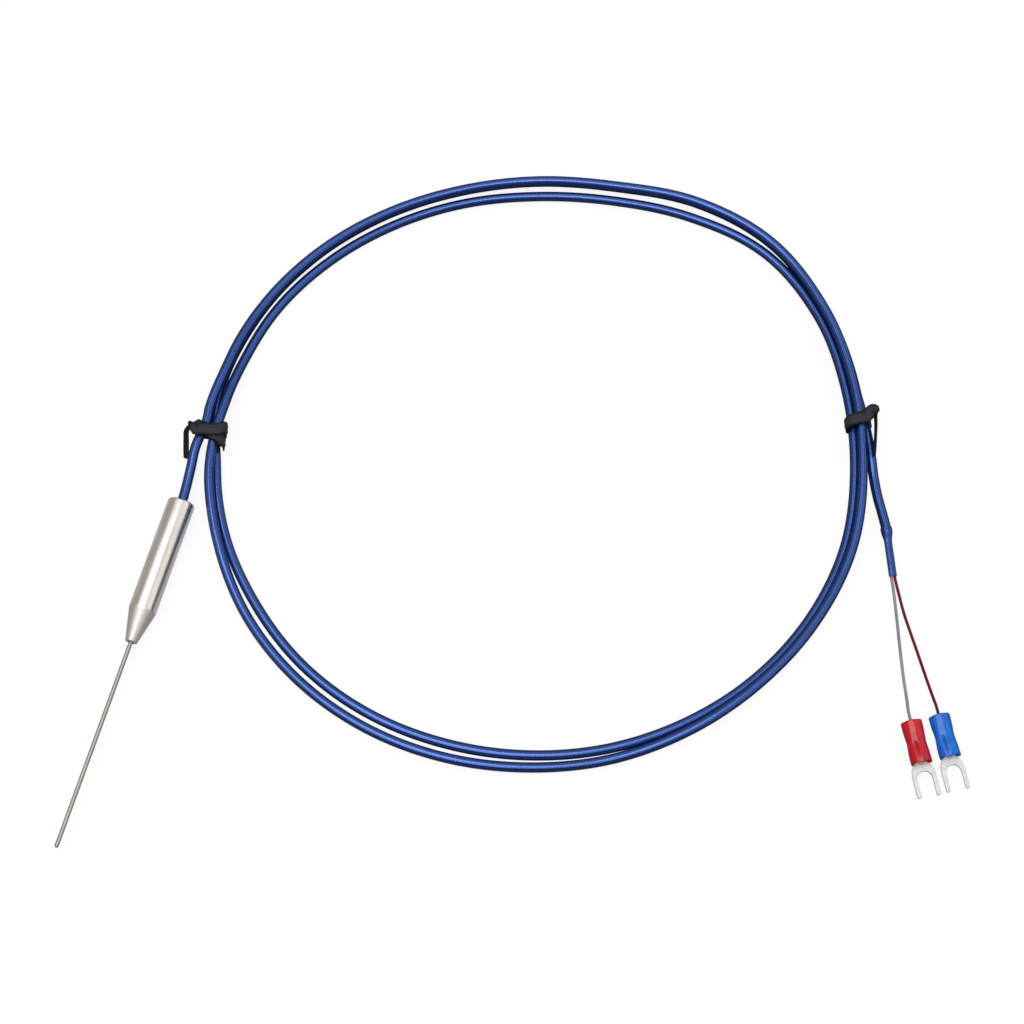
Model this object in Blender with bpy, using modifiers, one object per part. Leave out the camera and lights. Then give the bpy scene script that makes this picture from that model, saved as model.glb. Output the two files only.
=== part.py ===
# Needle thermocouple with a transition sleeve, a coiled cable and two fork terminals.
# Units are metres. The probe lies along +Y on the surface z = 0, tip towards -Y.

import math

import bmesh
import bpy
from mathutils import Matrix, Vector

MM = 0.001

# Needle: a drawn sheath, packed with mineral insulation round two wires
NEEDLE_EXPOSED = 50.0 * MM
NEEDLE_IN_SLEEVE = 12.0 * MM
SHEATH_DIAMETER = 1.0 * MM
SHEATH_WALL = 0.15 * MM
TIP_WALL = 0.35 * MM
INSULATION_CLEARANCE = 0.03 * MM
WIRE_DIAMETER = 0.15 * MM
WIRE_SPACING = 0.34 * MM
WIRE_CLEARANCE = 0.03 * MM
WIRE_BEND_INSET = 0.4 * MM
JUNCTION_DIAMETER = 0.44 * MM
JUNCTION_THICKNESS = 0.3 * MM
JUNCTION_CLEARANCE = 0.04 * MM

# Transition sleeve: turned from bar
SLEEVE_DIAMETER = 6.5 * MM
SLEEVE_LENGTH = 36.0 * MM
CONE_LENGTH = 7.6 * MM
NOSE_DIAMETER = 3.0 * MM
NOSE_LENGTH = 0.5 * MM
NOSE_RADIUS = 0.3 * MM
COUNTERBORE_DIAMETER = 1.7 * MM
COUNTERBORE_DEPTH = 1.4 * MM
NEEDLE_BORE_CLEARANCE = 0.03 * MM
MAIN_BORE_DIAMETER = 4.6 * MM
MAIN_BORE_DEPTH = 27.0 * MM
DRILL_POINT_ANGLE = math.radians(59)
REAR_CHAMFER = 0.35 * MM

# Splices and potting inside the sleeve
CORE_SPACING = 1.24 * MM
CORE_DIAMETER = 0.7 * MM
CORE_LENGTH = 3.6 * MM
STRIPPED_DIAMETER = 0.3 * MM
STRIPPED_LENGTH = 2.6 * MM
FERRULE_DIAMETER = 1.1 * MM
FERRULE_WAIST = 0.9 * MM
FERRULE_BORE = 0.5 * MM
FERRULE_LENGTH = 5.0 * MM
FERRULE_ENTRY = 0.35 * MM
POTTING_CLEARANCE = 0.03 * MM
POTTING_RECESS = 1.5 * MM
EMBED_CLEARANCE = 0.05 * MM

# Cable, leads and the gap that touching pieces keep
CABLE_DIAMETER = 2.4 * MM
CABLE_IN_SLEEVE = 9.0 * MM
LEAD_DIAMETER = 0.72 * MM
BARE_DIAMETER = 0.45 * MM
FACE_GAP = 0.3 * MM

# Coil: an uneven oval lying flat. Mean radius and half the spread of its strands every 15 degrees
COIL_CENTRE = Vector((76.5 * MM, 77.5 * MM, 0.0))
COIL_MIDDLE_RADIUS = 76.0 * MM
COIL_RADII_MM = (77.6, 77.6, 78.5, 80.1, 80.6, 77.5, 73.7, 72.1, 71.9, 72.6, 73.9, 75.3,
                 76.0, 76.3, 76.3, 76.0, 75.6, 74.9, 74.2, 73.9, 74.2, 74.7, 75.5, 76.6)
COIL_SPREADS_MM = (0.84, 0.81, 0.85, 0.84, 1.22, 1.79, 1.54, 1.59, 1.36, 1.34, 1.33, 1.25,
                   1.29, 0.79, 0.93, 1.56, 1.61, 1.63, 1.60, 1.42, 1.29, 1.11, 0.84, 0.79)
STRANDS_HIGH = 2
TIE_LEFT_BEARING = math.radians(191.5)
TIE_RIGHT_BEARING = math.radians(22.9)
LEFT_SHOULDER_BEARING = math.radians(194.2)
RIGHT_SHOULDER_BEARING = math.radians(20.4)
LIFT_REACH = math.radians(15.0)
LEFT_WEDGE = 2.0 * MM
RIGHT_WEDGE = 1.0 * MM
WEDGE_REACH = math.radians(9.0)
LEFT_NARROWING = 0.75 * MM
RIGHT_NARROWING = 2.1 * MM
NARROWING_REACH = math.radians(11.5)
SECTION_POWER = 3.0
RING_STEP = math.radians(5.0)
SHOULDER_EDGE = math.radians(0.05)
SHOULDER_CLEAR = math.radians(0.6)
TIE_FLAT = math.radians(1.4)

# Twist ties
TIE_WIDTH = 3.0 * MM
TIE_THICKNESS = 0.6 * MM
TIE_CLEARANCE = 0.3 * MM
TIE_LAP = 0.12 * MM
TIE_EAR_PARTS = 3

# How the ties lie: shifts along the cable as they go round, then the ear and tail beyond the bundle,
# each point as (outward, shift, height) in millimetres and the direction of the ribbon's width
LEFT_TIE_SHIFTS = (2.9, 2.9, 1.9, 0.1, -0.5, -0.5, -0.5, -0.5, -0.5, -0.5, -0.15, 0.8, 1.0)
LEFT_TIE_EAR = ((0.65, -0.6, 6.1, (0.0, 0.5, 0.85)), (1.2, -0.6, 5.5, (0.0, 0.35, 0.95)),
                (2.1, 0.1, 4.6, (0.05, 0.3, 0.95)), (2.5, 1.1, 4.0, (0.15, 0.15, 1.0)),
                (2.35, 2.9, 3.4, (0.22, 0.0, 1.0)), (1.95, 7.1, 2.4, (0.22, 0.0, 1.0)))
RIGHT_TIE_SHIFTS = (0.3, -0.5, -0.6, -0.1)
RIGHT_TIE_EAR = ((-0.3, 1.0, 6.5, (-0.4, 0.9, 0.3)), (0.6, 1.5, 5.7, (-0.2, 0.6, 0.8)),
                 (0.95, 1.1, 5.2, (0.1, 0.1, 1.0)), (0.9, -0.1, 4.8, (0.0, 0.0, 1.0)),
                 (0.7, -1.9, 4.6, (0.0, 0.0, 1.0)), (0.0, -5.3, 4.5, (0.0, 0.0, 1.0)),
                 (-1.0, -9.4, 4.4, (0.1, 0.0, 1.0)))

# Breakout sleeve, terminals and their insulators
BREAKOUT_MOUTH = 2.8 * MM
BREAKOUT_WIDTH = 1.9 * MM
BREAKOUT_HEIGHT = 1.2 * MM
BREAKOUT_COLLAR = 1.2 * MM
BREAKOUT_TAPER = 2.2 * MM
LEAD_SPACING = 0.8 * MM
LEAD_IN_BREAKOUT = 4.0 * MM
SOCKET_CLEARANCE = 0.05 * MM
INSULATOR_LENGTH = 10.3 * MM
INSULATOR_DIAMETER = 4.9 * MM
INSULATOR_WAIST_WIDTH = 4.5 * MM
INSULATOR_WAIST_HEIGHT = 3.6 * MM
INSULATOR_EDGE = 0.35 * MM
INSULATOR_MOUTH = 3.9 * MM
INSULATOR_MOUTH_DEPTH = 2.0 * MM
BARREL_DIAMETER = 2.5 * MM
BARREL_BORE = 1.5 * MM
BARREL_LENGTH = 7.8 * MM
BARREL_INSET = 1.4 * MM
BARREL_CLEARANCE = 0.08 * MM
FORK_WIDTH = 5.5 * MM
FORK_SLOT = 3.6 * MM
FORK_LENGTH = 7.5 * MM
FORK_CROWN = 1.5 * MM
FORK_THICKNESS = 0.8 * MM
FORK_NECK_WIDTH = 2.7 * MM
TIP_ROUND = 0.35 * MM
LEAD_IN_INSULATOR = 2.2 * MM
BARE_IN_BARREL = 3.6 * MM

# Places: the probe's length is centred on the origin
SLEEVE_REAR = (NEEDLE_EXPOSED + SLEEVE_LENGTH) / 2
SLEEVE_NOSE = SLEEVE_REAR - SLEEVE_LENGTH
TIP = SLEEVE_NOSE - NEEDLE_EXPOSED
AXIS_HEIGHT = SLEEVE_DIAMETER / 2
SHEATH_END = SLEEVE_NOSE + NEEDLE_IN_SLEEVE
CABLE_END = SLEEVE_REAR - CABLE_IN_SLEEVE
TIE_LIFT = TIE_THICKNESS + TIE_CLEARANCE

# Routes chosen by hand, in millimetres: where the cable and the leads lie free
LEAD_IN_ROUTE = ((0.0, 43.0, 3.25), (-0.2, 46.0, 3.3), (-0.5, 49.5, 3.5), (-0.8, 52.6, 3.9))
LEAD_OUT_ROUTE = ((153.7, 101.0, 1.6), (155.4, 96.8, 1.3), (156.7, 93.7, 1.2),
                  (158.0, 90.9, 1.2), (159.6, 87.9, 1.3))
BREAKOUT_START = Vector((161.5, 84.2, 1.4)) * MM
BREAKOUT_END = Vector((165.8, 73.1, 0.9)) * MM
WHITE_ROUTE = ((166.9, 69.4, 0.55), (169.0, 63.5, 0.4), (171.2, 57.0, 0.5),
               (173.5, 50.2, 1.0), (175.4, 44.8, 1.9))
RED_ROUTE = ((168.1, 69.4, 0.55), (170.3, 65.2, 0.4), (172.7, 61.2, 0.4), (175.3, 56.9, 0.6),
             (178.0, 52.2, 1.1), (180.8, 47.3, 1.9))
RED_TERMINAL_REAR = Vector((177.5, 39.6, 0.0)) * MM
RED_TERMINAL_BEARING = math.radians(-62.9)
BLUE_TERMINAL_REAR = Vector((183.3, 42.8, 0.0)) * MM
BLUE_TERMINAL_BEARING = math.radians(-62.1)

# Colours as base colour, metallic and roughness
FINISHES = {
    "stainless": ((0.62, 0.59, 0.56), 1.0, 0.25),
    "mineral": ((0.85, 0.84, 0.80), 0.0, 0.8),
    "positive_alloy": ((0.60, 0.56, 0.50), 1.0, 0.35),
    "negative_alloy": ((0.55, 0.55, 0.56), 1.0, 0.35),
    "tinned": ((0.72, 0.71, 0.69), 1.0, 0.3),
    "resin": ((0.05, 0.05, 0.06), 0.0, 0.4),
    "blue_jacket": ((0.02, 0.08, 0.36), 0.0, 0.25),
    "white_lead": ((0.75, 0.74, 0.74), 0.0, 0.4),
    "red_lead": ((0.36, 0.01, 0.04), 0.0, 0.4),
    "red_vinyl": ((0.70, 0.03, 0.05), 0.0, 0.25),
    "blue_vinyl": ((0.03, 0.22, 0.80), 0.0, 0.25),
    "black_tie": ((0.03, 0.03, 0.03), 0.0, 0.5),
}


def clearScene():
    for item in list(bpy.data.objects):
        bpy.data.objects.remove(item, do_unlink=True)


def newCollection(name):
    collection = bpy.data.collections.new(name)
    bpy.context.scene.collection.children.link(collection)
    return collection


clearScene()
PARTS = newCollection("thermocouple_probe")
CUTTERS = newCollection("cutters")


def material(name):
    found = bpy.data.materials.get(name)
    if found:
        return found
    colour, metallic, roughness = FINISHES[name]
    made = bpy.data.materials.new(name)
    made.use_nodes = True
    shader = made.node_tree.nodes["Principled BSDF"]
    shader.inputs["Base Color"].default_value = (*colour, 1.0)
    shader.inputs["Metallic"].default_value = metallic
    shader.inputs["Roughness"].default_value = roughness
    return made


def addObject(name, data, finish):
    item = bpy.data.objects.new(name, data)
    if finish:
        PARTS.objects.link(item)
        data.materials.append(material(finish))
    else:
        CUTTERS.objects.link(item)
        item.hide_render = True
        item.display_type = "WIRE"
    return item


def smooth(item, angle=math.radians(35)):
    item.data.shade_smooth()
    item.data.set_sharp_from_angle(angle=angle)


# Shapes shared by the pieces

def turned(name, profile, finish, steps=24, place=None):
    """Revolve (radius, along) points, listed from the far end down the outer side.

    A profile that starts or ends off the axis is closed into a ring; no edge runs along the axis."""
    shape = bmesh.new()
    corners = [shape.verts.new((radius, 0.0, along)) for radius, along in profile]
    for start, end in zip(corners, corners[1:] + corners[:1]):
        if start.co.x > 0 or end.co.x > 0:
            shape.edges.new((start, end))
    data = bpy.data.meshes.new(name)
    shape.to_mesh(data)
    shape.free()
    item = addObject(name, data, finish)
    screw = item.modifiers.new("turn", "SCREW")
    screw.axis = "Z"
    screw.angle = math.tau
    screw.steps = steps
    screw.render_steps = steps
    screw.use_merge_vertices = True
    screw.merge_threshold = 1e-6
    item.matrix_world = place or alongAxis()
    return item


def alongAxis(x=0.0, y=0.0):
    """Place that turns local Z into world +Y at the probe's height."""
    return Matrix.Translation((x, y, AXIS_HEIGHT)) @ Matrix.Rotation(-math.pi / 2, 4, "X")


def tube(name, points, diameter, finish, resolution=2):
    curve = bpy.data.curves.new(name, "CURVE")
    curve.dimensions = "3D"
    curve.bevel_depth = diameter / 2
    curve.bevel_resolution = resolution
    curve.use_fill_caps = True
    spline = curve.splines.new("POLY")
    spline.points.add(len(points) - 1)
    for slot, point in zip(spline.points, points):
        slot.co = (*point, 1.0)
    return addObject(name, curve, finish)


def asMesh(item):
    """Turn a curve object into a welded mesh object of the same name."""
    evaluated = item.evaluated_get(bpy.context.evaluated_depsgraph_get())
    data = bpy.data.meshes.new_from_object(evaluated)
    weld = bmesh.new()
    weld.from_mesh(data)
    bmesh.ops.remove_doubles(weld, verts=weld.verts, dist=1e-7)
    bmesh.ops.recalc_face_normals(weld, faces=weld.faces)
    weld.to_mesh(data)
    weld.free()
    name = item.name
    place = item.matrix_world.copy()
    home = item.users_collection[0]
    hidden = item.hide_render
    bpy.data.objects.remove(item, do_unlink=True)
    made = bpy.data.objects.new(name, data)
    home.objects.link(made)
    made.matrix_world = place
    made.hide_render = hidden
    if hidden:
        made.display_type = "WIRE"
    return made


def loft(name, rings, finish, closed=False):
    """Skin between rings of points; each ring turns the same way and has the same count."""
    shape = bmesh.new()
    loops = [[shape.verts.new(point) for point in ring] for ring in rings]
    count = len(loops[0])
    pairs = list(zip(loops, loops[1:] + loops[:1])) if closed else list(zip(loops, loops[1:]))
    for first, second in pairs:
        for i in range(count):
            j = (i + 1) % count
            shape.faces.new((first[i], first[j], second[j], second[i]))
    if not closed:
        shape.faces.new(list(reversed(loops[0])))
        shape.faces.new(loops[-1])
    bmesh.ops.recalc_face_normals(shape, faces=shape.faces)
    data = bpy.data.meshes.new(name)
    shape.to_mesh(data)
    shape.free()
    return addObject(name, data, finish)


def combine(item, other, operation):
    change = item.modifiers.new(operation.lower(), "BOOLEAN")
    change.operation = operation
    change.solver = "EXACT"
    change.object = other
    other.hide_render = True
    other.display_type = "WIRE"
    if other.name in PARTS.objects:
        PARTS.objects.unlink(other)
        CUTTERS.objects.link(other)


def catmullRom(points, parts=None, step=None):
    """A smooth curve through the points, in equal parts or about a step apart."""
    knots = [points[0] * 2 - points[1]] + list(points) + [points[-1] * 2 - points[-2]]
    path = []
    for a, b, c, d in zip(knots, knots[1:], knots[2:], knots[3:]):
        count = parts or max(1, round((c - b).length / step))
        path += [between(a, b, c, d, k / count) for k in range(count)]
    path.append(points[-1])
    return path


def between(a, b, c, d, t):
    """Catmull-Rom value between b and c."""
    return 0.5 * (2 * b + (c - a) * t + (2 * a - 5 * b + 4 * c - d) * t ** 2
                  + (3 * b - a - 3 * c + d) * t ** 3)


def route(points):
    return [Vector(point) * MM for point in points]


def easeBetween(t):
    t = min(1.0, max(0.0, t))
    return t * t * (3 - 2 * t)


# The coil's shape: mean radius, spread and lift at a bearing

def ringValue(values, bearing):
    count = len(values)
    place = (math.degrees(bearing) % 360) / (360 / count)
    i = int(place)
    t = place - i
    a, b, c, d = (values[(i + k) % count] for k in (-1, 0, 1, 2))
    return MM * between(a, b, c, d, t)


def turnsApart(first, second):
    return abs((first - second + math.pi) % math.tau - math.pi)


def coilLift(bearing):
    """The bundle rises over each tie, which passes beneath it."""
    nearest = min(turnsApart(bearing, tie) for tie in (TIE_LEFT_BEARING, TIE_RIGHT_BEARING))
    return TIE_LIFT * easeBetween(1.6 * (1 - nearest / LIFT_REACH))


def bundle(bearing):
    """Inner radius, outer radius, bottom and top of the wound strands."""
    mean = ringValue(COIL_RADII_MM, bearing)
    spread = ringValue(COIL_SPREADS_MM, bearing)
    strand = CABLE_DIAMETER / 2
    bottom = coilLift(bearing)
    inner = mean - spread - strand
    turned_to = bearing % math.tau
    if RIGHT_SHOULDER_BEARING <= turned_to <= LEFT_SHOULDER_BEARING:
        outer = inner + max(2 * CABLE_DIAMETER, 2 * spread + CABLE_DIAMETER)
        outer += LEFT_WEDGE * easeBetween(1 - turnsApart(bearing, LEFT_SHOULDER_BEARING) / WEDGE_REACH)
        outer += RIGHT_WEDGE * easeBetween(1 - turnsApart(bearing, RIGHT_SHOULDER_BEARING) / WEDGE_REACH)
        return inner, outer, bottom, bottom + STRANDS_HIGH * CABLE_DIAMETER
    outer = mean + spread + strand
    outer -= LEFT_NARROWING * easeBetween(1 - turnsApart(bearing, LEFT_SHOULDER_BEARING) / NARROWING_REACH)
    outer -= RIGHT_NARROWING * easeBetween(1 - turnsApart(bearing, RIGHT_SHOULDER_BEARING) / NARROWING_REACH)
    stacked = math.sqrt(max(0.0, CABLE_DIAMETER ** 2 - (2 * spread) ** 2))
    return inner, outer, bottom, bottom + CABLE_DIAMETER + stacked


def coilPoint(bearing, radius, height):
    return COIL_CENTRE + Vector((math.cos(bearing) * radius, math.sin(bearing) * radius, height))


def squircle(angle, half_width, half_height):
    """Point on a rounded box outline, a superellipse."""
    share = 2 / SECTION_POWER
    c = math.cos(angle)
    s = math.sin(angle)
    return (math.copysign(abs(c) ** share, c) * half_width,
            math.copysign(abs(s) ** share, s) * half_height)


# Probe

def makeSheath():
    radius = SHEATH_DIAMETER / 2
    bore = radius - SHEATH_WALL
    dome = [(radius * math.cos(a), TIP + radius - radius * math.sin(a))
            for a in (math.radians(15 * k) for k in range(0, 6))]
    profile = ([(bore, SHEATH_END), (radius, SHEATH_END)] + dome
               + [(0.0, TIP), (0.0, TIP + TIP_WALL), (bore, TIP + TIP_WALL)])
    smooth(turned("probe_sheath", profile, "stainless", steps=16))


def makeInsulation():
    radius = SHEATH_DIAMETER / 2 - SHEATH_WALL - INSULATION_CLEARANCE
    front = TIP + TIP_WALL + JUNCTION_THICKNESS + 3 * JUNCTION_CLEARANCE
    item = turned("mineral_insulation",
                  [(0.0, SHEATH_END), (radius, SHEATH_END), (radius, front), (0.0, front)],
                  "mineral", steps=16)
    bore = WIRE_DIAMETER + 2 * WIRE_CLEARANCE
    for side in (-1, 1):
        x = side * WIRE_SPACING / 2
        ends = [Vector((x, front - MM, AXIS_HEIGHT)), Vector((x, SHEATH_END + MM, AXIS_HEIGHT))]
        combine(item, asMesh(tube(f"wire_bore_{side + 1}", ends, bore, None)), "DIFFERENCE")
    return item


def wirePath(side):
    """From the junction through the insulation, then out to the splice."""
    start = TIP + TIP_WALL + JUNCTION_THICKNESS + 2 * JUNCTION_CLEARANCE
    near = side * WIRE_SPACING / 2
    far = side * CORE_SPACING / 2
    splice_front = spliceFront()
    bend_start = SHEATH_END + WIRE_BEND_INSET
    bend_end = splice_front - WIRE_BEND_INSET
    points = [Vector((near, start, AXIS_HEIGHT))]
    for k in range(9):
        t = k / 8
        x = near + (far - near) * easeBetween(t)
        points.append(Vector((x, bend_start + (bend_end - bend_start) * t, AXIS_HEIGHT)))
    points.append(Vector((far, splice_front + FERRULE_LENGTH / 2 - FACE_GAP / 2, AXIS_HEIGHT)))
    return points


def spliceFront():
    core_front = CABLE_END - FACE_GAP - CORE_LENGTH
    return core_front - FACE_GAP - FERRULE_LENGTH


def makeThermoelements():
    for name, side in (("positive", -1), ("negative", 1)):
        tube(f"thermoelement_{name}", wirePath(side), WIRE_DIAMETER, f"{name}_alloy")


def makeJunction():
    back = TIP + TIP_WALL + JUNCTION_CLEARANCE
    front = back + JUNCTION_THICKNESS
    radius = JUNCTION_DIAMETER / 2
    edge = JUNCTION_THICKNESS / 4
    item = turned("measuring_junction",
                  [(0.0, front), (radius - edge, front), (radius, front - edge),
                   (radius, back + edge), (radius - edge, back), (0.0, back)],
                  "positive_alloy", steps=12)
    smooth(item)


def makeTransitionSleeve():
    outer = SLEEVE_DIAMETER / 2
    nose = NOSE_DIAMETER / 2
    bore = MAIN_BORE_DIAMETER / 2
    fit = SHEATH_DIAMETER / 2 + NEEDLE_BORE_CLEARANCE
    mouth = COUNTERBORE_DIAMETER / 2
    bottom = SLEEVE_REAR - MAIN_BORE_DEPTH
    point = bottom - (bore - fit) / math.tan(DRILL_POINT_ANGLE)
    cone = SLEEVE_NOSE + NOSE_LENGTH
    lip = [(nose - NOSE_RADIUS + NOSE_RADIUS * math.cos(a),
            SLEEVE_NOSE + NOSE_RADIUS - NOSE_RADIUS * math.sin(a))
           for a in (math.radians(22.5 * k) for k in range(5))]
    profile = ([(bore, SLEEVE_REAR), (outer - REAR_CHAMFER, SLEEVE_REAR),
                (outer, SLEEVE_REAR - REAR_CHAMFER), (outer, cone + CONE_LENGTH), (nose, cone)]
               + lip
               + [(mouth, SLEEVE_NOSE), (mouth, SLEEVE_NOSE + COUNTERBORE_DEPTH),
                  (fit, SLEEVE_NOSE + COUNTERBORE_DEPTH), (fit, point), (bore, bottom)])
    item = turned("transition_sleeve", profile, "stainless", steps=32)
    smooth(item, math.radians(20))
    return item


# Inside the sleeve

def makeSplices():
    front = spliceFront()
    back = front + FERRULE_LENGTH
    outer = FERRULE_DIAMETER / 2
    waist = FERRULE_WAIST / 2
    bore = FERRULE_BORE / 2
    lip = FERRULE_ENTRY / 4
    middle = (front + back) / 2
    crimp = FERRULE_LENGTH / 6
    profile = [(bore + lip, back), (outer, back), (outer, middle + 2 * crimp), (waist, middle + crimp),
               (waist, middle - crimp), (outer, middle - 2 * crimp), (outer, front),
               (bore + lip, front), (bore, front + FERRULE_ENTRY), (bore, back - FERRULE_ENTRY)]
    for name, side in (("positive", -1), ("negative", 1)):
        item = turned(f"splice_{name}", profile, "tinned", steps=16,
                      place=alongAxis(side * CORE_SPACING / 2))
        smooth(item, math.radians(15))


def makeCores():
    back = CABLE_END - FACE_GAP
    shoulder = back - CORE_LENGTH
    tip = shoulder - STRIPPED_LENGTH
    insulated = CORE_DIAMETER / 2
    bare = STRIPPED_DIAMETER / 2
    profile = [(0.0, back), (insulated, back), (insulated, shoulder), (bare, shoulder),
               (bare, tip), (0.0, tip)]
    for name, side, finish in (("positive", -1, "white_lead"), ("negative", 1, "red_lead")):
        turned(f"core_{name}", profile, finish, steps=12, place=alongAxis(side * CORE_SPACING / 2))


def makePotting():
    """Resin round everything in the main bore, open where the needle and the cable pass."""
    radius = MAIN_BORE_DIAMETER / 2 - POTTING_CLEARANCE
    front = SLEEVE_REAR - MAIN_BORE_DEPTH + POTTING_CLEARANCE
    back = SLEEVE_REAR - POTTING_RECESS
    item = turned("potting_compound", [(0.0, back), (radius, back), (radius, front), (0.0, front)],
                  "resin", steps=32)

    def straight(name, x, start, end, diameter):
        ends = [Vector((x, start, AXIS_HEIGHT)), Vector((x, end, AXIS_HEIGHT))]
        shape = asMesh(tube(name, ends, diameter + 2 * EMBED_CLEARANCE, None, resolution=4))
        combine(item, shape, "DIFFERENCE")

    straight("sheath_space", 0.0, front - MM, SHEATH_END + EMBED_CLEARANCE, SHEATH_DIAMETER)
    straight("cable_space", 0.0, CABLE_END - FACE_GAP / 2, back + MM, CABLE_DIAMETER)
    splice = spliceFront()
    for side in (-1, 1):
        x = side * CORE_SPACING / 2
        straight(f"splice_space_{side + 1}", x, splice - EMBED_CLEARANCE,
                 splice + FERRULE_LENGTH + EMBED_CLEARANCE, FERRULE_DIAMETER)
        straight(f"core_space_{side + 1}", x, splice + FERRULE_LENGTH, CABLE_END, CORE_DIAMETER)
        bend = wirePath(side)[1:-1]
        bend.insert(0, Vector((bend[0].x, SHEATH_END - EMBED_CLEARANCE, AXIS_HEIGHT)))
        bend.append(Vector((x, splice + EMBED_CLEARANCE, AXIS_HEIGHT)))
        wire = asMesh(tube(f"wire_space_{side + 1}", bend, WIRE_DIAMETER + 4 * EMBED_CLEARANCE, None))
        combine(item, wire, "DIFFERENCE")
    smooth(item)


# Cable

def leadInPath():
    """From inside the sleeve to the shoulder of the coil."""
    inner, outer, bottom, top = bundle(LEFT_SHOULDER_BEARING)
    meet = LEFT_SHOULDER_BEARING + FACE_GAP / outer
    end = coilPoint(meet, outer - CABLE_DIAMETER / 2, top - CABLE_DIAMETER / 2)
    before = coilPoint(meet + CABLE_DIAMETER / (2 * outer), outer - CABLE_DIAMETER / 2, top - CABLE_DIAMETER / 2)
    middle = SLEEVE_REAR - CABLE_IN_SLEEVE / 2
    points = [Vector((0.0, CABLE_END, AXIS_HEIGHT)), Vector((0.0, middle, AXIS_HEIGHT))]
    return points + route(LEAD_IN_ROUTE) + [before, end]


def leadOutPath():
    inner, outer, bottom, top = bundle(RIGHT_SHOULDER_BEARING)
    meet = RIGHT_SHOULDER_BEARING - FACE_GAP / outer
    start = coilPoint(meet, outer - CABLE_DIAMETER / 2, bottom + CABLE_DIAMETER / 2)
    towards = (BREAKOUT_END - BREAKOUT_START).normalized()
    return [start] + route(LEAD_OUT_ROUTE) + [BREAKOUT_START - towards * FACE_GAP]


def makeCable():
    step = 2.5 * CABLE_DIAMETER
    tube("cable_lead_in", catmullRom(leadInPath(), step=step), CABLE_DIAMETER, "blue_jacket")
    tube("cable_lead_out", catmullRom(leadOutPath(), step=step), CABLE_DIAMETER, "blue_jacket")
    bearings = [RING_STEP * k for k in range(round(math.tau / RING_STEP))]
    for shoulder in (LEFT_SHOULDER_BEARING, RIGHT_SHOULDER_BEARING):
        bearings = [b for b in bearings if turnsApart(b, shoulder) > SHOULDER_CLEAR]
        bearings += [shoulder - SHOULDER_EDGE, shoulder + SHOULDER_EDGE]
    bearings += [TIE_LEFT_BEARING - TIE_FLAT, TIE_LEFT_BEARING + TIE_FLAT]
    bearings.sort()
    rings = []
    for bearing in bearings:
        inner, outer, bottom, top = bundle(bearing)
        middle = (inner + outer) / 2
        height = (bottom + top) / 2
        ring = []
        for k in range(14):
            across, up = squircle(math.tau * (k + 0.5) / 14, (outer - inner) / 2, (top - bottom) / 2)
            ring.append(coilPoint(bearing, middle + across, height + up))
        rings.append(ring)
    coil = loft("cable_coil", rings, "blue_jacket", closed=True)
    smooth(coil)


# Ties

def ribbon(name, stations, finish):
    """A flat strip through (middle, width direction) stations."""
    middles = [middle for middle, across in stations]
    ahead = middles[1:] + [middles[-1] * 2 - middles[-2]]
    behind = [middles[0] * 2 - middles[1]] + middles[:-1]
    rings = []
    for (middle, across), after, before in zip(stations, ahead, behind):
        forward = (after - before).normalized()
        wide = (across - forward * across.dot(forward)).normalized() * TIE_WIDTH / 2
        thick = forward.cross(wide).normalized() * TIE_THICKNESS / 2
        rings.append([middle - wide - thick, middle + wide - thick,
                      middle + wide + thick, middle - wide + thick])
    item = loft(name, rings, finish)
    smooth(item)
    return item


def makeTie(name, bearing, wraps, ear):
    """Wrap a ribbon round the bundle, then out to an ear and along to a tail.

    wraps lists (angle, extra gap, shift): the angle goes round the bundle from its outer side
    beneath it and back over the top, and the shift runs along the cable.
    ear lists (outward, shift, height, (width direction)) from the bundle's outer side."""
    outward = Vector((math.cos(bearing), math.sin(bearing), 0.0))
    along = Vector((-math.sin(bearing), math.cos(bearing), 0.0))
    upward = Vector((0.0, 0.0, 1.0))
    gap = TIE_CLEARANCE + TIE_THICKNESS / 2
    stations = []
    for angle, extra, shift in wraps:
        inner, outer, bottom, top = bundle(bearing + shift / COIL_MIDDLE_RADIUS)
        across, up = squircle(math.radians(angle), (outer - inner) / 2 + gap + extra,
                              (top - bottom) / 2 + gap + extra)
        place = coilPoint(bearing, (inner + outer) / 2, (bottom + top) / 2)
        stations.append((place + outward * across + upward * up + along * shift, along))
    inner, outer, bottom, top = bundle(bearing)
    side = coilPoint(bearing, outer, 0.0)
    places = [stations[-1][0]]
    leans = [along]
    for reach, shift, height, (lean_out, lean_along, lean_up) in ear:
        places.append(side + (outward * reach + along * shift + upward * height) * MM)
        leans.append(outward * lean_out + along * lean_along + upward * lean_up)
    smooth_places = catmullRom(places, TIE_EAR_PARTS)
    smooth_leans = catmullRom(leans, TIE_EAR_PARTS)
    stations += list(zip(smooth_places, smooth_leans))[1:]
    return ribbon(name, stations, "black_tie")


def wrapStations(start, end, shifts, lap_from=None):
    """Stations every 15 degrees from start down to end, with the shift eased between its values."""
    stations = []
    count = round((start - end) / 15)
    for k in range(count + 1):
        angle = start - 15 * k
        place = k / count * (len(shifts) - 1)
        i = min(int(place), len(shifts) - 2)
        shift = shifts[i] + (shifts[i + 1] - shifts[i]) * easeBetween(place - i)
        lap = 0.0
        if lap_from is not None:
            lap = (TIE_THICKNESS + TIE_LAP) * easeBetween((lap_from - angle) / 45)
        stations.append((angle, lap, shift * MM))
    return stations


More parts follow.
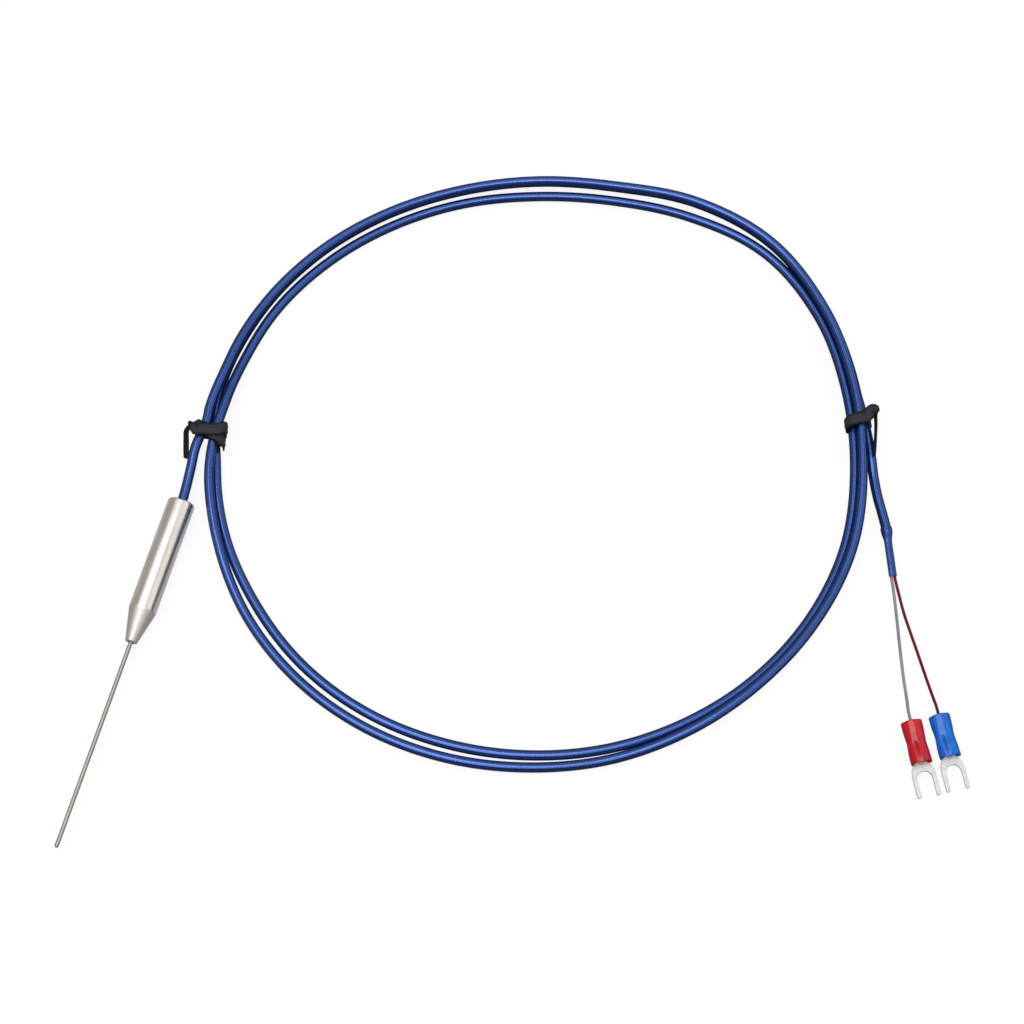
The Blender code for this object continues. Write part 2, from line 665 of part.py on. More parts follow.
def makeTies():
    """The left tie goes round nearly one and a half times and laps itself, the right one once."""
    left = wrapStations(-165, -660, LEFT_TIE_SHIFTS, lap_from=-540)
    makeTie("tie_left", TIE_LEFT_BEARING, left, LEFT_TIE_EAR)
    right = wrapStations(-30, -285, RIGHT_TIE_SHIFTS)
    makeTie("tie_right", TIE_RIGHT_BEARING, right, RIGHT_TIE_EAR)


# Breakout, leads and terminals

def terminalPlace(rear, bearing):
    """Local +X runs from the lead towards the fork's tips, local +Z is up."""
    return (Matrix.Translation(rear + Vector((0.0, 0.0, INSULATOR_DIAMETER / 2)))
            @ Matrix.Rotation(bearing, 4, "Z"))


def makeBreakout():
    axis = BREAKOUT_END - BREAKOUT_START
    length = axis.length
    forward = axis.normalized()
    side = forward.cross(Vector((0.0, 0.0, 1.0))).normalized()
    up = side.cross(forward)
    wide = BREAKOUT_MOUTH / 2
    ends = ((0.0, wide, wide), (BREAKOUT_COLLAR, wide, wide),
            (BREAKOUT_COLLAR + BREAKOUT_TAPER / 2, (wide + BREAKOUT_WIDTH / 2) / 2,
             (wide + BREAKOUT_HEIGHT / 2) / 2),
            (BREAKOUT_COLLAR + BREAKOUT_TAPER, BREAKOUT_WIDTH / 2, BREAKOUT_HEIGHT / 2),
            (length, BREAKOUT_WIDTH / 2, BREAKOUT_HEIGHT / 2))
    rings = []
    for along, half_width, half_height in ends:
        middle = BREAKOUT_START + forward * along
        rings.append([middle + side * math.cos(a) * half_width + up * math.sin(a) * half_height
                      for a in (math.tau * k / 16 for k in range(16))])
    item = loft("breakout_sleeve", rings, "blue_jacket")
    for number in (-1, 1):
        offset = side * number * LEAD_SPACING / 2
        socket = [BREAKOUT_END + offset - forward * (LEAD_IN_BREAKOUT + FACE_GAP),
                  BREAKOUT_END + offset + forward * MM]
        hole = asMesh(tube(f"lead_socket_{number + 1}", socket,
                           LEAD_DIAMETER + 2 * SOCKET_CLEARANCE, None))
        combine(item, hole, "DIFFERENCE")
    smooth(item)


def makeLead(name, number, points, rear, bearing, finish):
    """From its socket in the breakout sleeve to the barrel of its terminal."""
    forward = (BREAKOUT_END - BREAKOUT_START).normalized()
    side = forward.cross(Vector((0.0, 0.0, 1.0))).normalized()
    mouth = BREAKOUT_END + side * number * LEAD_SPACING / 2
    place = terminalPlace(rear, bearing)
    straight = [mouth - forward * LEAD_IN_BREAKOUT, mouth]
    free = ([mouth + forward * LEAD_DIAMETER] + route(points)
            + [place @ Vector((-3 * LEAD_DIAMETER, 0.0, 0.0))])
    inside = [place @ Vector((0.0, 0.0, 0.0)), place @ Vector((LEAD_IN_INSULATOR - FACE_GAP, 0.0, 0.0))]
    tube(f"lead_{name}", straight + catmullRom(free, step=3 * LEAD_DIAMETER) + inside,
         LEAD_DIAMETER, finish)
    start = place @ Vector((LEAD_IN_INSULATOR, 0.0, 0.0))
    end = place @ Vector((LEAD_IN_INSULATOR + BARE_IN_BARREL, 0.0, 0.0))
    tube(f"conductor_{name}", [start, end], BARE_DIAMETER, "tinned")


def makeInsulator(name, rear, bearing, finish):
    """A vinyl tube pinched at its middle by the crimp, with its lead hole and barrel bore."""
    full = INSULATOR_DIAMETER / 2
    waist_wide = INSULATOR_WAIST_WIDTH / 2
    waist_high = INSULATOR_WAIST_HEIGHT / 2
    rings = []
    count = 12
    for k in range(count + 1):
        t = k / count
        pinch = math.exp(-((t - 0.5) / 0.2) ** 2)
        width = full + (waist_wide - full) * pinch
        height = full + (waist_high - full) * pinch
        along = INSULATOR_EDGE + (INSULATOR_LENGTH - 2 * INSULATOR_EDGE) * t
        rings.append((along, width, height))
    rings.insert(0, (0.0, full - INSULATOR_EDGE, full - INSULATOR_EDGE))
    rings.append((INSULATOR_LENGTH, full - INSULATOR_EDGE, full - INSULATOR_EDGE))
    place = terminalPlace(rear, bearing)
    skin = [[place @ Vector((along, math.cos(a) * width, math.sin(a) * height))
             for a in (math.tau * k / 24 for k in range(24))] for along, width, height in rings]
    item = loft(name, skin, finish)
    barrel = BARREL_DIAMETER / 2 + BARREL_CLEARANCE
    mouth = INSULATOR_MOUTH / 2
    entry = LEAD_DIAMETER / 2 + SOCKET_CLEARANCE
    cone = BARREL_INSET - BARREL_CLEARANCE
    bore = turned(f"{name}_bore",
                  [(0.0, INSULATOR_LENGTH + MM), (mouth, INSULATOR_LENGTH + MM),
                   (mouth, INSULATOR_LENGTH - INSULATOR_MOUTH_DEPTH),
                   (barrel, INSULATOR_LENGTH - INSULATOR_MOUTH_DEPTH - (mouth - barrel)),
                   (barrel, cone),
                   (entry, cone), (entry, -MM), (0.0, -MM)],
                  None, steps=24, place=place @ Matrix.Rotation(math.pi / 2, 4, "Y"))
    combine(item, bore, "DIFFERENCE")
    smooth(item)
    return item


def forkOutline():
    """Tongue seen from above: neck, rounded shoulders, two tines round a U slot."""
    half = FORK_WIDTH / 2
    slot = FORK_SLOT / 2
    neck = FORK_NECK_WIDTH / 2
    rear = INSULATOR_LENGTH - INSULATOR_MOUTH_DEPTH + BARREL_CLEARANCE
    front = INSULATOR_LENGTH + FORK_LENGTH
    crown = INSULATOR_LENGTH + FORK_CROWN
    shoulder = crown + slot
    right = [(rear, neck), (INSULATOR_LENGTH + FORK_CROWN * 0.2, neck)]
    for k in range(1, 7):
        a = math.radians(15 * k)
        right.append((shoulder - (shoulder - right[1][0]) * math.cos(a),
                      neck + (half - neck) * math.sin(a)))
    right += [(front - TIP_ROUND, half), (front, half - TIP_ROUND), (front, slot + TIP_ROUND / 2),
              (front - TIP_ROUND / 2, slot)]
    inner = [(shoulder - slot * math.sin(a), slot * math.cos(a))
             for a in (math.radians(15 * k) for k in range(7))]
    upper = right + inner
    return upper + [(x, -y) for x, y in reversed(upper[:-1])]


def makeFork(name, rear, bearing):
    """Flat fork whose tongue runs into a rolled barrel with an open seam on top."""
    place = terminalPlace(rear, bearing)
    floor = -BARREL_DIAMETER / 2
    curve = bpy.data.curves.new(name, "CURVE")
    curve.dimensions = "2D"
    curve.fill_mode = "BOTH"
    curve.extrude = FORK_THICKNESS / 2
    spline = curve.splines.new("POLY")
    outline = forkOutline()
    spline.points.add(len(outline) - 1)
    for slot, (x, y) in zip(spline.points, outline):
        slot.co = (x, y, 0.0, 1.0)
    spline.use_cyclic_u = True
    flat = addObject(name, curve, "tinned")
    flat.matrix_world = place @ Matrix.Translation((0.0, 0.0, floor + FORK_THICKNESS / 2))
    item = asMesh(flat)
    start = BARREL_INSET
    end = BARREL_INSET + BARREL_LENGTH
    outer = BARREL_DIAMETER / 2
    inner = BARREL_BORE / 2
    barrel = turned(f"{name}_barrel", [(inner, end), (outer, end), (outer, start), (inner, start)],
                    "tinned", steps=24, place=place @ Matrix.Rotation(math.pi / 2, 4, "Y"))
    combine(item, barrel, "UNION")
    clear = asMesh(tube(f"{name}_bore", [place @ Vector((start - MM, 0, 0)), place @ Vector((end + MM, 0, 0))],
                        BARREL_BORE, None, resolution=4))
    combine(item, clear, "DIFFERENCE")
    smooth(item)
    return item


def makeTerminals():
    makeInsulator("insulator_red", RED_TERMINAL_REAR, RED_TERMINAL_BEARING, "red_vinyl")
    makeInsulator("insulator_blue", BLUE_TERMINAL_REAR, BLUE_TERMINAL_BEARING, "blue_vinyl")
    makeFork("fork_red", RED_TERMINAL_REAR, RED_TERMINAL_BEARING)
    makeFork("fork_blue", BLUE_TERMINAL_REAR, BLUE_TERMINAL_BEARING)
    makeLead("white", 1, WHITE_ROUTE, RED_TERMINAL_REAR, RED_TERMINAL_BEARING, "white_lead")
    makeLead("red", -1, RED_ROUTE, BLUE_TERMINAL_REAR, BLUE_TERMINAL_BEARING, "red_lead")


makeSheath()
makeInsulation()
makeThermoelements()
makeJunction()
makeTransitionSleeve()
makeSplices()
makeCores()
makePotting()
makeCable()
makeTies()
makeBreakout()
makeTerminals()
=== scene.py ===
# Needle thermocouple on a coiled blue cable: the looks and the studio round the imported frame
import math
import bmesh
import bpy
from mathutils import Matrix, Vector


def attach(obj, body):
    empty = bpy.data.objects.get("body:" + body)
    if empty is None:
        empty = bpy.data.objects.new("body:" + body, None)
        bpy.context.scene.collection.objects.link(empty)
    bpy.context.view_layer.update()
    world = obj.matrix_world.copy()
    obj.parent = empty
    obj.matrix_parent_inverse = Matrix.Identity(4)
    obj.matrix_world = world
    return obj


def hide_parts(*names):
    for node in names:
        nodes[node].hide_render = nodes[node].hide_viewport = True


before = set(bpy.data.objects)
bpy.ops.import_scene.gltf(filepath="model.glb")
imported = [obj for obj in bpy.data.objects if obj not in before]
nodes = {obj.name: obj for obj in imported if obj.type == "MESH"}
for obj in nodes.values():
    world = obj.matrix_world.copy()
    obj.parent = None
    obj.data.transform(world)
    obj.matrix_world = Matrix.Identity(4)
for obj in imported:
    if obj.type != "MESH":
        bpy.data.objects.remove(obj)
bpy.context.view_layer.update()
body = "root"
mm = 0.001
print("frame loaded:", len(nodes), "nodes")


# Camera: the photograph's angle, worked out from the flat coil and the straight needle
camera = {"azimuth": 16.31, "elevation": 70.0, "distance": 541.0, "target": (75.31, 63.7, 0.0),
          "lens": 80.0, "sensor": 36.0}


def makeCamera(look):
    turn = math.radians(look["azimuth"])
    lift = math.radians(look["elevation"])
    sight = Vector((-math.sin(turn) * math.cos(lift), math.cos(turn) * math.cos(lift), -math.sin(lift)))
    data = bpy.data.cameras.new("camera")
    data.lens = look["lens"]
    data.sensor_width = look["sensor"]
    data.clip_start = 0.01
    eye = bpy.data.objects.new("camera", data)
    eye.location = (Vector(look["target"]) - sight * look["distance"]) * mm
    eye.rotation_euler = sight.to_track_quat("-Z", "Y").to_euler()
    bpy.context.scene.collection.objects.link(eye)
    bpy.context.scene.camera = eye


makeCamera(camera)
bpy.context.scene.view_settings.view_transform = "Standard"


# Node trees: a wire is a socket that takes part in sums, a graph makes the nodes
class Wire:
    def __init__(self, graph, socket):
        self.graph = graph
        self.socket = socket

    def maths(self, operation, *others):
        inputs = {0: self}
        inputs.update({i + 1: other for i, other in enumerate(others)})
        return self.graph.node("ShaderNodeMath", {"operation": operation}, inputs)

    def out(self, name):
        return Wire(self.graph, self.socket.node.outputs[name])

    def __add__(self, other):
        return self.maths("ADD", other)

    def __mul__(self, other):
        return self.maths("MULTIPLY", other)

    def __sub__(self, other):
        return self.maths("SUBTRACT", other)

    def __rsub__(self, other):
        return self.maths("MULTIPLY_ADD", -1.0, other)

    def __truediv__(self, other):
        return self.maths("DIVIDE", other)

    __radd__ = __add__
    __rmul__ = __mul__

    def between(self, low, high):  # 0 below low, 1 above high, smooth in between
        values = {"Value": self, "From Min": low, "From Max": high}
        return self.graph.node("ShaderNodeMapRange", {"interpolation_type": "SMOOTHSTEP"}, values)

    def wave(self, turns):  # -1 to 1, that many waves for each unit
        return (self * (math.tau * turns)).maths("SINE")


class Graph:
    def __init__(self, tree):
        self.tree = tree

    def node(self, kind, settings=None, inputs=None, output=0):
        made = self.tree.nodes.new(kind)
        for key, value in (settings or {}).items():
            if key == "stops":
                self.setStops(made.color_ramp, value)
            else:
                setattr(made, key, value)
        for key, value in (inputs or {}).items():
            if isinstance(value, Wire):
                self.tree.links.new(value.socket, made.inputs[key])
            else:
                made.inputs[key].default_value = value
        return Wire(self, made.outputs[output])

    def setStops(self, ramp, stops):
        while len(ramp.elements) < len(stops):
            ramp.elements.new(0.5)
        for element, (place, shade) in zip(ramp.elements, stops):
            element.position = place
            element.color = (shade, shade, shade, 1.0)

    def split(self, vector):
        return self.node("ShaderNodeSeparateXYZ", None, {0: vector})

    def join(self, x, y):
        return self.node("ShaderNodeCombineXYZ", None, {0: x, 1: y})

    def mixed(self, factor, first, second):
        values = {0: factor,
                  6: first if isinstance(first, Wire) else (*first, 1.0),
                  7: second if isinstance(second, Wire) else (*second, 1.0)}
        return self.node("ShaderNodeMix", {"data_type": "RGBA"}, values, output=2)


class Finish(Graph):
    def __init__(self, name, colour, **fixed):
        self.material = bpy.data.materials.new(name)
        self.material.use_nodes = True
        super().__init__(self.material.node_tree)
        self.shader = self.tree.nodes["Principled BSDF"]
        self.set("Base Color", (*colour, 1.0))
        for key, value in fixed.items():
            self.set(key.replace("_", " "), value)

    def set(self, socket, value):
        if isinstance(value, Wire):
            self.tree.links.new(value.socket, self.shader.inputs[socket])
        else:
            self.shader.inputs[socket].default_value = value

    def place(self):
        return self.node("ShaderNodeTexCoord", output="Object")

    def attribute(self, name, output):
        return self.node("ShaderNodeAttribute", {"attribute_name": name}, output=output)

    def map(self, vector, scale):
        return self.node("ShaderNodeMapping", None, {"Vector": vector, "Scale": scale})

    def noise(self, vector, scale, detail=2.0):
        return self.node("ShaderNodeTexNoise", None, {"Vector": vector, "Scale": scale, "Detail": detail})

    def bump(self, height, distance, strength=1.0):
        values = {"Height": height, "Distance": distance, "Strength": strength}
        self.set("Normal", self.node("ShaderNodeBump", None, values))


# Small tools for shapes
def ease(t):
    t = min(1.0, max(0.0, t))
    return t * t * (3 - 2 * t)


def between(a, b, c, d, t):
    return 0.5 * (2 * b + (c - a) * t + (2 * a - 5 * b + 4 * c - d) * t ** 2
                  + (3 * b - a - 3 * c + d) * t ** 3)


def catmullRom(points, parts=None, step=None):
    knots = [points[0] * 2 - points[1]] + list(points) + [points[-1] * 2 - points[-2]]
    path = []
    for a, b, c, d in zip(knots, knots[1:], knots[2:], knots[3:]):
        count = parts or max(1, round((c - b).length / step))
        path += [between(a, b, c, d, k / count) for k in range(count)]
    path.append(points[-1])
    return path


def lengthOf(path):
    return sum((b - a).length for a, b in zip(path, path[1:]))


def bell(x, reach):
    return math.exp(-(x / reach) ** 2)


def arc(step, first, last):
    return [math.radians(step * k) for k in range(first, last)]


def fullTurn(steps):
    return [math.tau * k / steps for k in range(steps)]


def paint(data, finish):
    data.materials.clear()
    data.materials.append(finish)


def addPiece(name, data, finish=None):
    piece = bpy.data.objects.new(name, data)
    bpy.context.scene.collection.objects.link(piece)
    if finish:
        paint(data, finish)
    return piece


def settle(piece, slot, *replaced):
    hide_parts(*replaced)
    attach(piece, body)


def softPiece(name, data, finish, sharp):
    data.shade_smooth()
    data.set_sharp_from_angle(angle=math.radians(sharp))
    return addPiece(name, data, finish)


def meshFrom(name, shape, finish, sharp=40.0):
    bmesh.ops.recalc_face_normals(shape, faces=shape.faces)
    data = bpy.data.meshes.new(name)
    shape.to_mesh(data)
    shape.free()
    return softPiece(name, data, finish, sharp)


def drawnCurve(name, dimensions, points):
    curve = bpy.data.curves.new(name, "CURVE")
    curve.dimensions = dimensions
    spline = curve.splines.new("POLY")
    spline.points.add(len(points) - 1)
    for slot, point in zip(spline.points, points):
        slot.co = (*point, 1.0)
    return curve


def baked(piece, *helpers):  # the piece's mesh with its modifiers; the objects it came from go
    data = bpy.data.meshes.new_from_object(piece.evaluated_get(bpy.context.evaluated_depsgraph_get()))
    for spare in (piece, *helpers):
        bpy.data.objects.remove(spare, do_unlink=True)
    return data


def skinned(name, rings, finish, closed=False, sharp=40.0):
    shape = bmesh.new()  # rings of points, each turning the same way with the same count
    loops = [[shape.verts.new(point) for point in ring] for ring in rings]
    count = len(loops[0])
    following = loops[1:] + loops[:1] if closed else loops[1:]
    for first, second in zip(loops, following):
        for i in range(count):
            j = (i + 1) % count
            shape.faces.new((first[i], first[j], second[j], second[i]))
    if not closed:
        shape.faces.new(loops[0][::-1])
        shape.faces.new(loops[-1])
    return meshFrom(name, shape, finish, sharp)


def lathe(name, profile, finish, steps, place, sharp=25.0):
    shape = bmesh.new()  # (radius, along) points in mm, a closed line; points on the axis are shared
    turns = fullTurn(steps)
    loops = []
    for radius, along in profile:
        circle = (Vector((radius * mm * math.cos(a), radius * mm * math.sin(a), along * mm))
                  for a in (turns if radius else turns[:1]))
        loops.append([shape.verts.new(place @ point) for point in circle])
    for first, second in zip(loops, loops[1:] + loops[:1]):
        for i in range(steps):
            j = (i + 1) % steps
            corners = [first[i % len(first)], first[j % len(first)],
                       second[j % len(second)], second[i % len(second)]]
            kept = [v for k, v in enumerate(corners) if v not in corners[:k]]
            if len(kept) > 2:
                shape.faces.new(kept)
    return meshFrom(name, shape, finish, sharp)


def rounded(profile, radius):
    soft = [profile[0]]  # every inner corner of a line of points becomes a small arc
    for a, b, c in zip(profile, profile[1:], profile[2:]):
        a, b, c = Vector(a), Vector(b), Vector(c)
        reach = min(radius, (b - a).length * 0.45, (c - b).length * 0.45)
        start = b + (a - b).normalized() * reach
        end = b + (c - b).normalized() * reach
        for t in (0.0, 0.2, 0.4, 0.6, 0.8, 1.0):
            soft.append(tuple(start * (1 - t) ** 2 + b * 2 * t * (1 - t) + end * t ** 2))
    return soft + [profile[-1]]


# Geometry nodes: a skin along a curve, with its own map of length along and turn around
def makeSkinTree():
    tree = bpy.data.node_groups.new("cordSkin", "GeometryNodeTree")
    for name, kind in (("Curve", "Geometry"), ("Radius", "Float"), ("Sides", "Int"), ("Finish", "Material")):
        tree.interface.new_socket(name, in_out="INPUT", socket_type="NodeSocket" + kind)
    tree.interface.new_socket("Mesh", in_out="OUTPUT", socket_type="NodeSocketGeometry")
    graph = Graph(tree)
    given = graph.node("NodeGroupInput")
    length = graph.node("GeometryNodeSplineParameter", output="Length")
    turned = graph.node("GeometryNodeSplineParameter", output="Factor")
    rail = captured(graph, given.out("Curve"), length)
    circle = graph.node("GeometryNodeCurveArc", None,
                        {"Resolution": given.out("Sides") + 1.0, "Radius": given.out("Radius"),
                         "Start Angle": 0.0, "Sweep Angle": math.tau})
    ring = captured(graph, circle, turned)
    tube = graph.node("GeometryNodeCurveToMesh", None, {"Curve": rail, "Profile Curve": ring})
    place = graph.join(rail.out("Value") * (1 / mm), ring.out("Value"))
    mapped = graph.node("GeometryNodeStoreNamedAttribute", {"data_type": "FLOAT2", "domain": "CORNER"},
                        {"Geometry": tube, "Name": "cordMap", "Value": place})
    merged = graph.node("GeometryNodeMergeByDistance", None, {"Geometry": mapped, "Distance": 1e-6})
    real = graph.node("GeometryNodeRealizeInstances", None, {"Geometry": merged})
    painted = graph.node("GeometryNodeSetMaterial", None,
                         {"Geometry": real, "Material": given.out("Finish")})
    result = tree.nodes.new("NodeGroupOutput")
    tree.links.new(painted.socket, result.inputs[0])
    return tree


def captured(graph, geometry, value):
    node = graph.tree.nodes.new("GeometryNodeCaptureAttribute")
    node.capture_items.new("FLOAT", "Value")
    graph.tree.links.new(geometry.socket, node.inputs["Geometry"])
    graph.tree.links.new(value.socket, node.inputs["Value"])
    return Wire(graph, node.outputs["Geometry"])


skinTree = makeSkinTree()


def cordPiece(name, path, diameter, sides, finish):
    line = addPiece(name + "Line", drawnCurve(name + "Line", "3D", path))
    skin = line.modifiers.new("skin", "NODES")
    skin.node_group = skinTree
    values = {"Radius": diameter / 2, "Sides": sides, "Finish": finish}
    for item in skinTree.interface.items_tree:
        if item.in_out == "INPUT" and item.name in values:
            skin[item.identifier] = values[item.name]
    data = baked(line)
    shape = bmesh.new()
    shape.from_mesh(data)
    ends = [edge for edge in shape.edges if len(edge.link_faces) == 1]
    bmesh.ops.holes_fill(shape, edges=ends, sides=0)
    bmesh.ops.recalc_face_normals(shape, faces=shape.faces)
    shape.to_mesh(data)
    shape.free()
    data.name = name
    return softPiece(name, data, finish, 50.0)


# Finishes
# the needle's colour is its steel colour darkened by the cone's painted shade, 0.72
steel = {"sleeve": (0.73, 0.695, 0.66), "sleeveRoughness": 0.20, "needle": (0.338, 0.324, 0.302),
         "needleRoughness": 0.48, "rings": (40.0, 9000.0, 40.0), "lines": (40.0, 2200.0, 40.0),
         "cloud": (700.0, 110.0, 700.0), "dark": 0.86, "cloudFrom": (0.35, 0.75), "streak": 0.06,
         "smudge": 0.05, "relief": 0.0000018, "cone": (0.0145, 0.0155), "coneRoughness": 0.30,
         "coneShade": 0.72}
jacket = {"deep": (0.001, 0.012, 0.095), "bright": (0.045, 0.114, 0.38), "metal": 0.8, "roughness": 0.25,
          "edge": (0.05, 0.12, 0.45, 1.0), "coat": 0.5, "coatRoughness": 0.14, "carriers": 8, "pitch": 5.2,
          "weave": (-0.5, 0.6), "fine": (1.4, 7.5), "slow": (0.03, 1.2), "shade": (0.1, 1.05),
          "relief": 0.00003}
shrink = {"bright": (0.020, 0.062, 0.225), "dark": (0.009, 0.030, 0.14), "metal": 0.6, "roughness": 0.36,
          "coat": 0.4, "coatRoughness": 0.25, "cloud": 900.0, "streak": (2600.0, 900.0, 900.0),
          "speck": 0.14, "relief": 0.00004}
vinyl = {"red": (0.47, 0.004, 0.014), "blue": (0.002, 0.125, 0.56), "dark": 0.72, "paintedShade": 0.50,
         "roughness": 0.22, "shine": 0.3, "coat": 0.15, "coatRoughness": 0.1, "cloud": 420.0,
         "grain": 5200.0, "speck": 0.10, "relief": 0.000008}
tin = {"colour": (0.60, 0.59, 0.58), "dark": 0.82, "metal": 0.15, "roughness": 0.47, "cloud": 900.0,
       "grain": 7000.0, "speck": 0.2, "relief": 0.00001}
leadSkin = {"cloud": 130.0, "grain": 2600.0, "speck": 0.12, "relief": 0.000006, "shine": 0.15}
innerSkin = {"dark": 0.75, "speck": 0.1, "relief": 0.00002}
tieBlack = {"face": (0.020, 0.019, 0.024), "edge": (0.002, 0.002, 0.003), "shine": 0.22, "roughness": 0.55,
            "rim": (0.26, 0.47), "ribs": 2.6, "grain": 2600.0, "speck": 0.2, "relief": 0.00003}


def darker(colour, share):
    return tuple(share * c for c in colour)


def makeSteel(name, colour, roughness, coned=False):
    finish = Finish(name, colour, Metallic=1.0, Roughness=roughness)
    place = finish.place()
    rings = finish.noise(finish.map(place, steel["rings"]), 1.0)  # rings round the axis
    lines = finish.noise(finish.map(place, steel["lines"]), 1.0, 3.0)
    cloud = finish.noise(finish.map(place, steel["cloud"]), 1.0, 3.0)
    rough = roughness + lines * steel["streak"] + cloud * steel["smudge"]
    if coned:  # painted shade on the sleeve's cone: a darker colour, and more roughness
        cone = 1 - finish.split(place).out("Y").between(*steel["cone"])
        bright = finish.mixed(cloud.between(*steel["cloudFrom"]), colour, darker(colour, steel["dark"]))
        finish.set("Base Color", finish.mixed(cone, bright, darker(colour, steel["coneShade"])))
        rough = rough + cone * steel["coneRoughness"]
    finish.set("Roughness", rough)
    finish.bump(rings * 0.6 + lines * 0.4, steel["relief"])
    return finish.material


def makeJacket():
    finish = Finish("blueJacket", jacket["bright"], Metallic=jacket["metal"], Roughness=jacket["roughness"],
                    Coat_Weight=jacket["coat"], Coat_Roughness=jacket["coatRoughness"], Coat_IOR=1.5,
                    Specular_Tint=jacket["edge"])
    uv = finish.split(finish.attribute("cordMap", "Vector"))
    along = uv.out("X") / jacket["pitch"]
    around = uv.out("Y")
    left = (along + around).wave(jacket["carriers"])
    right = (along - around).wave(jacket["carriers"])
    weave = (left * right).between(*jacket["weave"])
    fineAlong, fineAround = jacket["fine"]
    slowAlong, slowAround = jacket["slow"]
    fine = finish.noise(finish.join(uv.out("X") * fineAlong, around * fineAround), 1.0, 3.0)
    slow = finish.noise(finish.join(uv.out("X") * slowAlong, around * slowAround), 1.0)
    shade = (weave * 0.55 + fine * 0.25 + slow * 0.35).between(*jacket["shade"])
    finish.set("Base Color", finish.mixed(shade, jacket["deep"], jacket["bright"]))
    finish.set("Roughness", jacket["roughness"] + fine * 0.08 - weave * 0.05)
    finish.bump(weave * 0.7 + fine * 0.3, jacket["relief"], 0.5)
    return finish.material


def makeShrink():
    finish = Finish("shrinkSleeve", shrink["bright"], Metallic=shrink["metal"],
                    Roughness=shrink["roughness"], Coat_Weight=shrink["coat"],
                    Coat_Roughness=shrink["coatRoughness"], Specular_Tint=jacket["edge"])
    place = finish.place()
    cloud = finish.noise(place, shrink["cloud"], 3.0)
    streak = finish.noise(finish.map(place, shrink["streak"]), 1.0)
    finish.set("Base Color", finish.mixed(cloud.between(0.3, 0.8), shrink["bright"], shrink["dark"]))
    finish.set("Roughness", shrink["roughness"] + streak * shrink["speck"])
    finish.bump(cloud * 0.6 + streak * 0.4, shrink["relief"], 0.5)
    return finish.material


def makeVinyl(name, colour):
    finish = Finish(name, colour, Roughness=vinyl["roughness"], Specular_IOR_Level=vinyl["shine"],
                    Coat_Weight=vinyl["coat"], Coat_Roughness=vinyl["coatRoughness"])
    place = finish.place()
    cloud = finish.noise(place, vinyl["cloud"], 3.0)
    grain = finish.noise(place, vinyl["grain"])
    hollow = finish.attribute("hollow", "Fac")
    unshaded = finish.mixed(cloud.between(0.3, 0.8), colour, darker(colour, vinyl["dark"]))
    # painted shade in the crimp channel and inside the front rim, read from the insulator's own point
    # attribute
    finish.set("Base Color", finish.mixed(hollow, unshaded, darker(colour, vinyl["paintedShade"])))
    finish.set("Roughness", vinyl["roughness"] + grain * vinyl["speck"])
    finish.bump(grain, vinyl["relief"], 0.6)
    return finish.material


def makeTin():
    colour = tin["colour"]
    finish = Finish("tinPlate", colour, Metallic=tin["metal"], Roughness=tin["roughness"])
    place = finish.place()
    cloud = finish.noise(place, tin["cloud"], 4.0)
    grain = finish.noise(place, tin["grain"])
    finish.set("Base Color", finish.mixed(cloud.between(0.4, 0.8), colour, darker(colour, tin["dark"])))
    finish.set("Roughness", tin["roughness"] + cloud * tin["speck"])
    finish.bump(grain * 0.5 + cloud * 0.5, tin["relief"], 0.6)
    return finish.material


def makeSpeckled(name, look, colour, dark, cloud, grain, **fixed):
    finish = Finish(name, colour, **fixed)
    place = finish.place()
    shade = finish.noise(place, cloud, 3.0)
    speck = finish.noise(place, *grain)
    finish.set("Base Color", finish.mixed(shade.between(0.3, 0.75), colour, dark))
    finish.set("Roughness", fixed["Roughness"] + speck * look["speck"])
    finish.bump(speck, look["relief"], 0.5)
    return finish.material


def makeLeadFinish(name, colour, dark, roughness):
    return makeSpeckled(name, leadSkin, colour, dark, leadSkin["cloud"], (leadSkin["grain"],),
                        Roughness=roughness, Specular_IOR_Level=leadSkin["shine"])


def makeInner(name, colour, metal, roughness, speckle):
    return makeSpeckled(name, innerSkin, colour, darker(colour, innerSkin["dark"]), speckle, (speckle, 3.0),
                        Metallic=metal, Roughness=roughness)


def makeTieFinish():
    finish = Finish("blackTie", tieBlack["face"], Roughness=tieBlack["roughness"],
                    Specular_IOR_Level=tieBlack["shine"])
    uv = finish.split(finish.attribute("tieMap", "Vector"))
    ribs = uv.out("X").wave(tieBlack["ribs"])
    grain = finish.noise(finish.place(), tieBlack["grain"], 3.0)
    # painted shade: the ribbon darker towards both edges
    rim = (uv.out("Y") - 0.5).maths("ABSOLUTE").between(*tieBlack["rim"])
    finish.set("Base Color", finish.mixed(rim, tieBlack["face"], tieBlack["edge"]))
    finish.set("Roughness", tieBlack["roughness"] + grain * tieBlack["speck"])
    finish.bump(ribs * 0.35 + grain * 0.65, tieBlack["relief"], 0.6)
    return finish.material


sleeveSteel = makeSteel("sleeveSteel", steel["sleeve"], steel["sleeveRoughness"], coned=True)
needleSteel = makeSteel("needleSteel", steel["needle"], steel["needleRoughness"])
jacketFinish = makeJacket()
shrinkFinish = makeShrink()
redVinyl = makeVinyl("redVinyl", vinyl["red"])
blueVinyl = makeVinyl("blueVinyl", vinyl["blue"])
tinFinish = makeTin()
whiteLeadFinish = makeLeadFinish("whiteLead", (0.235, 0.23, 0.235), (0.14, 0.137, 0.148), 0.42)
redLeadFinish = makeLeadFinish("redLead", (0.14, 0.000, 0.011), (0.085, 0.000, 0.006), 0.45)
tieFinish = makeTieFinish()
print("finishes made:", len(bpy.data.materials))


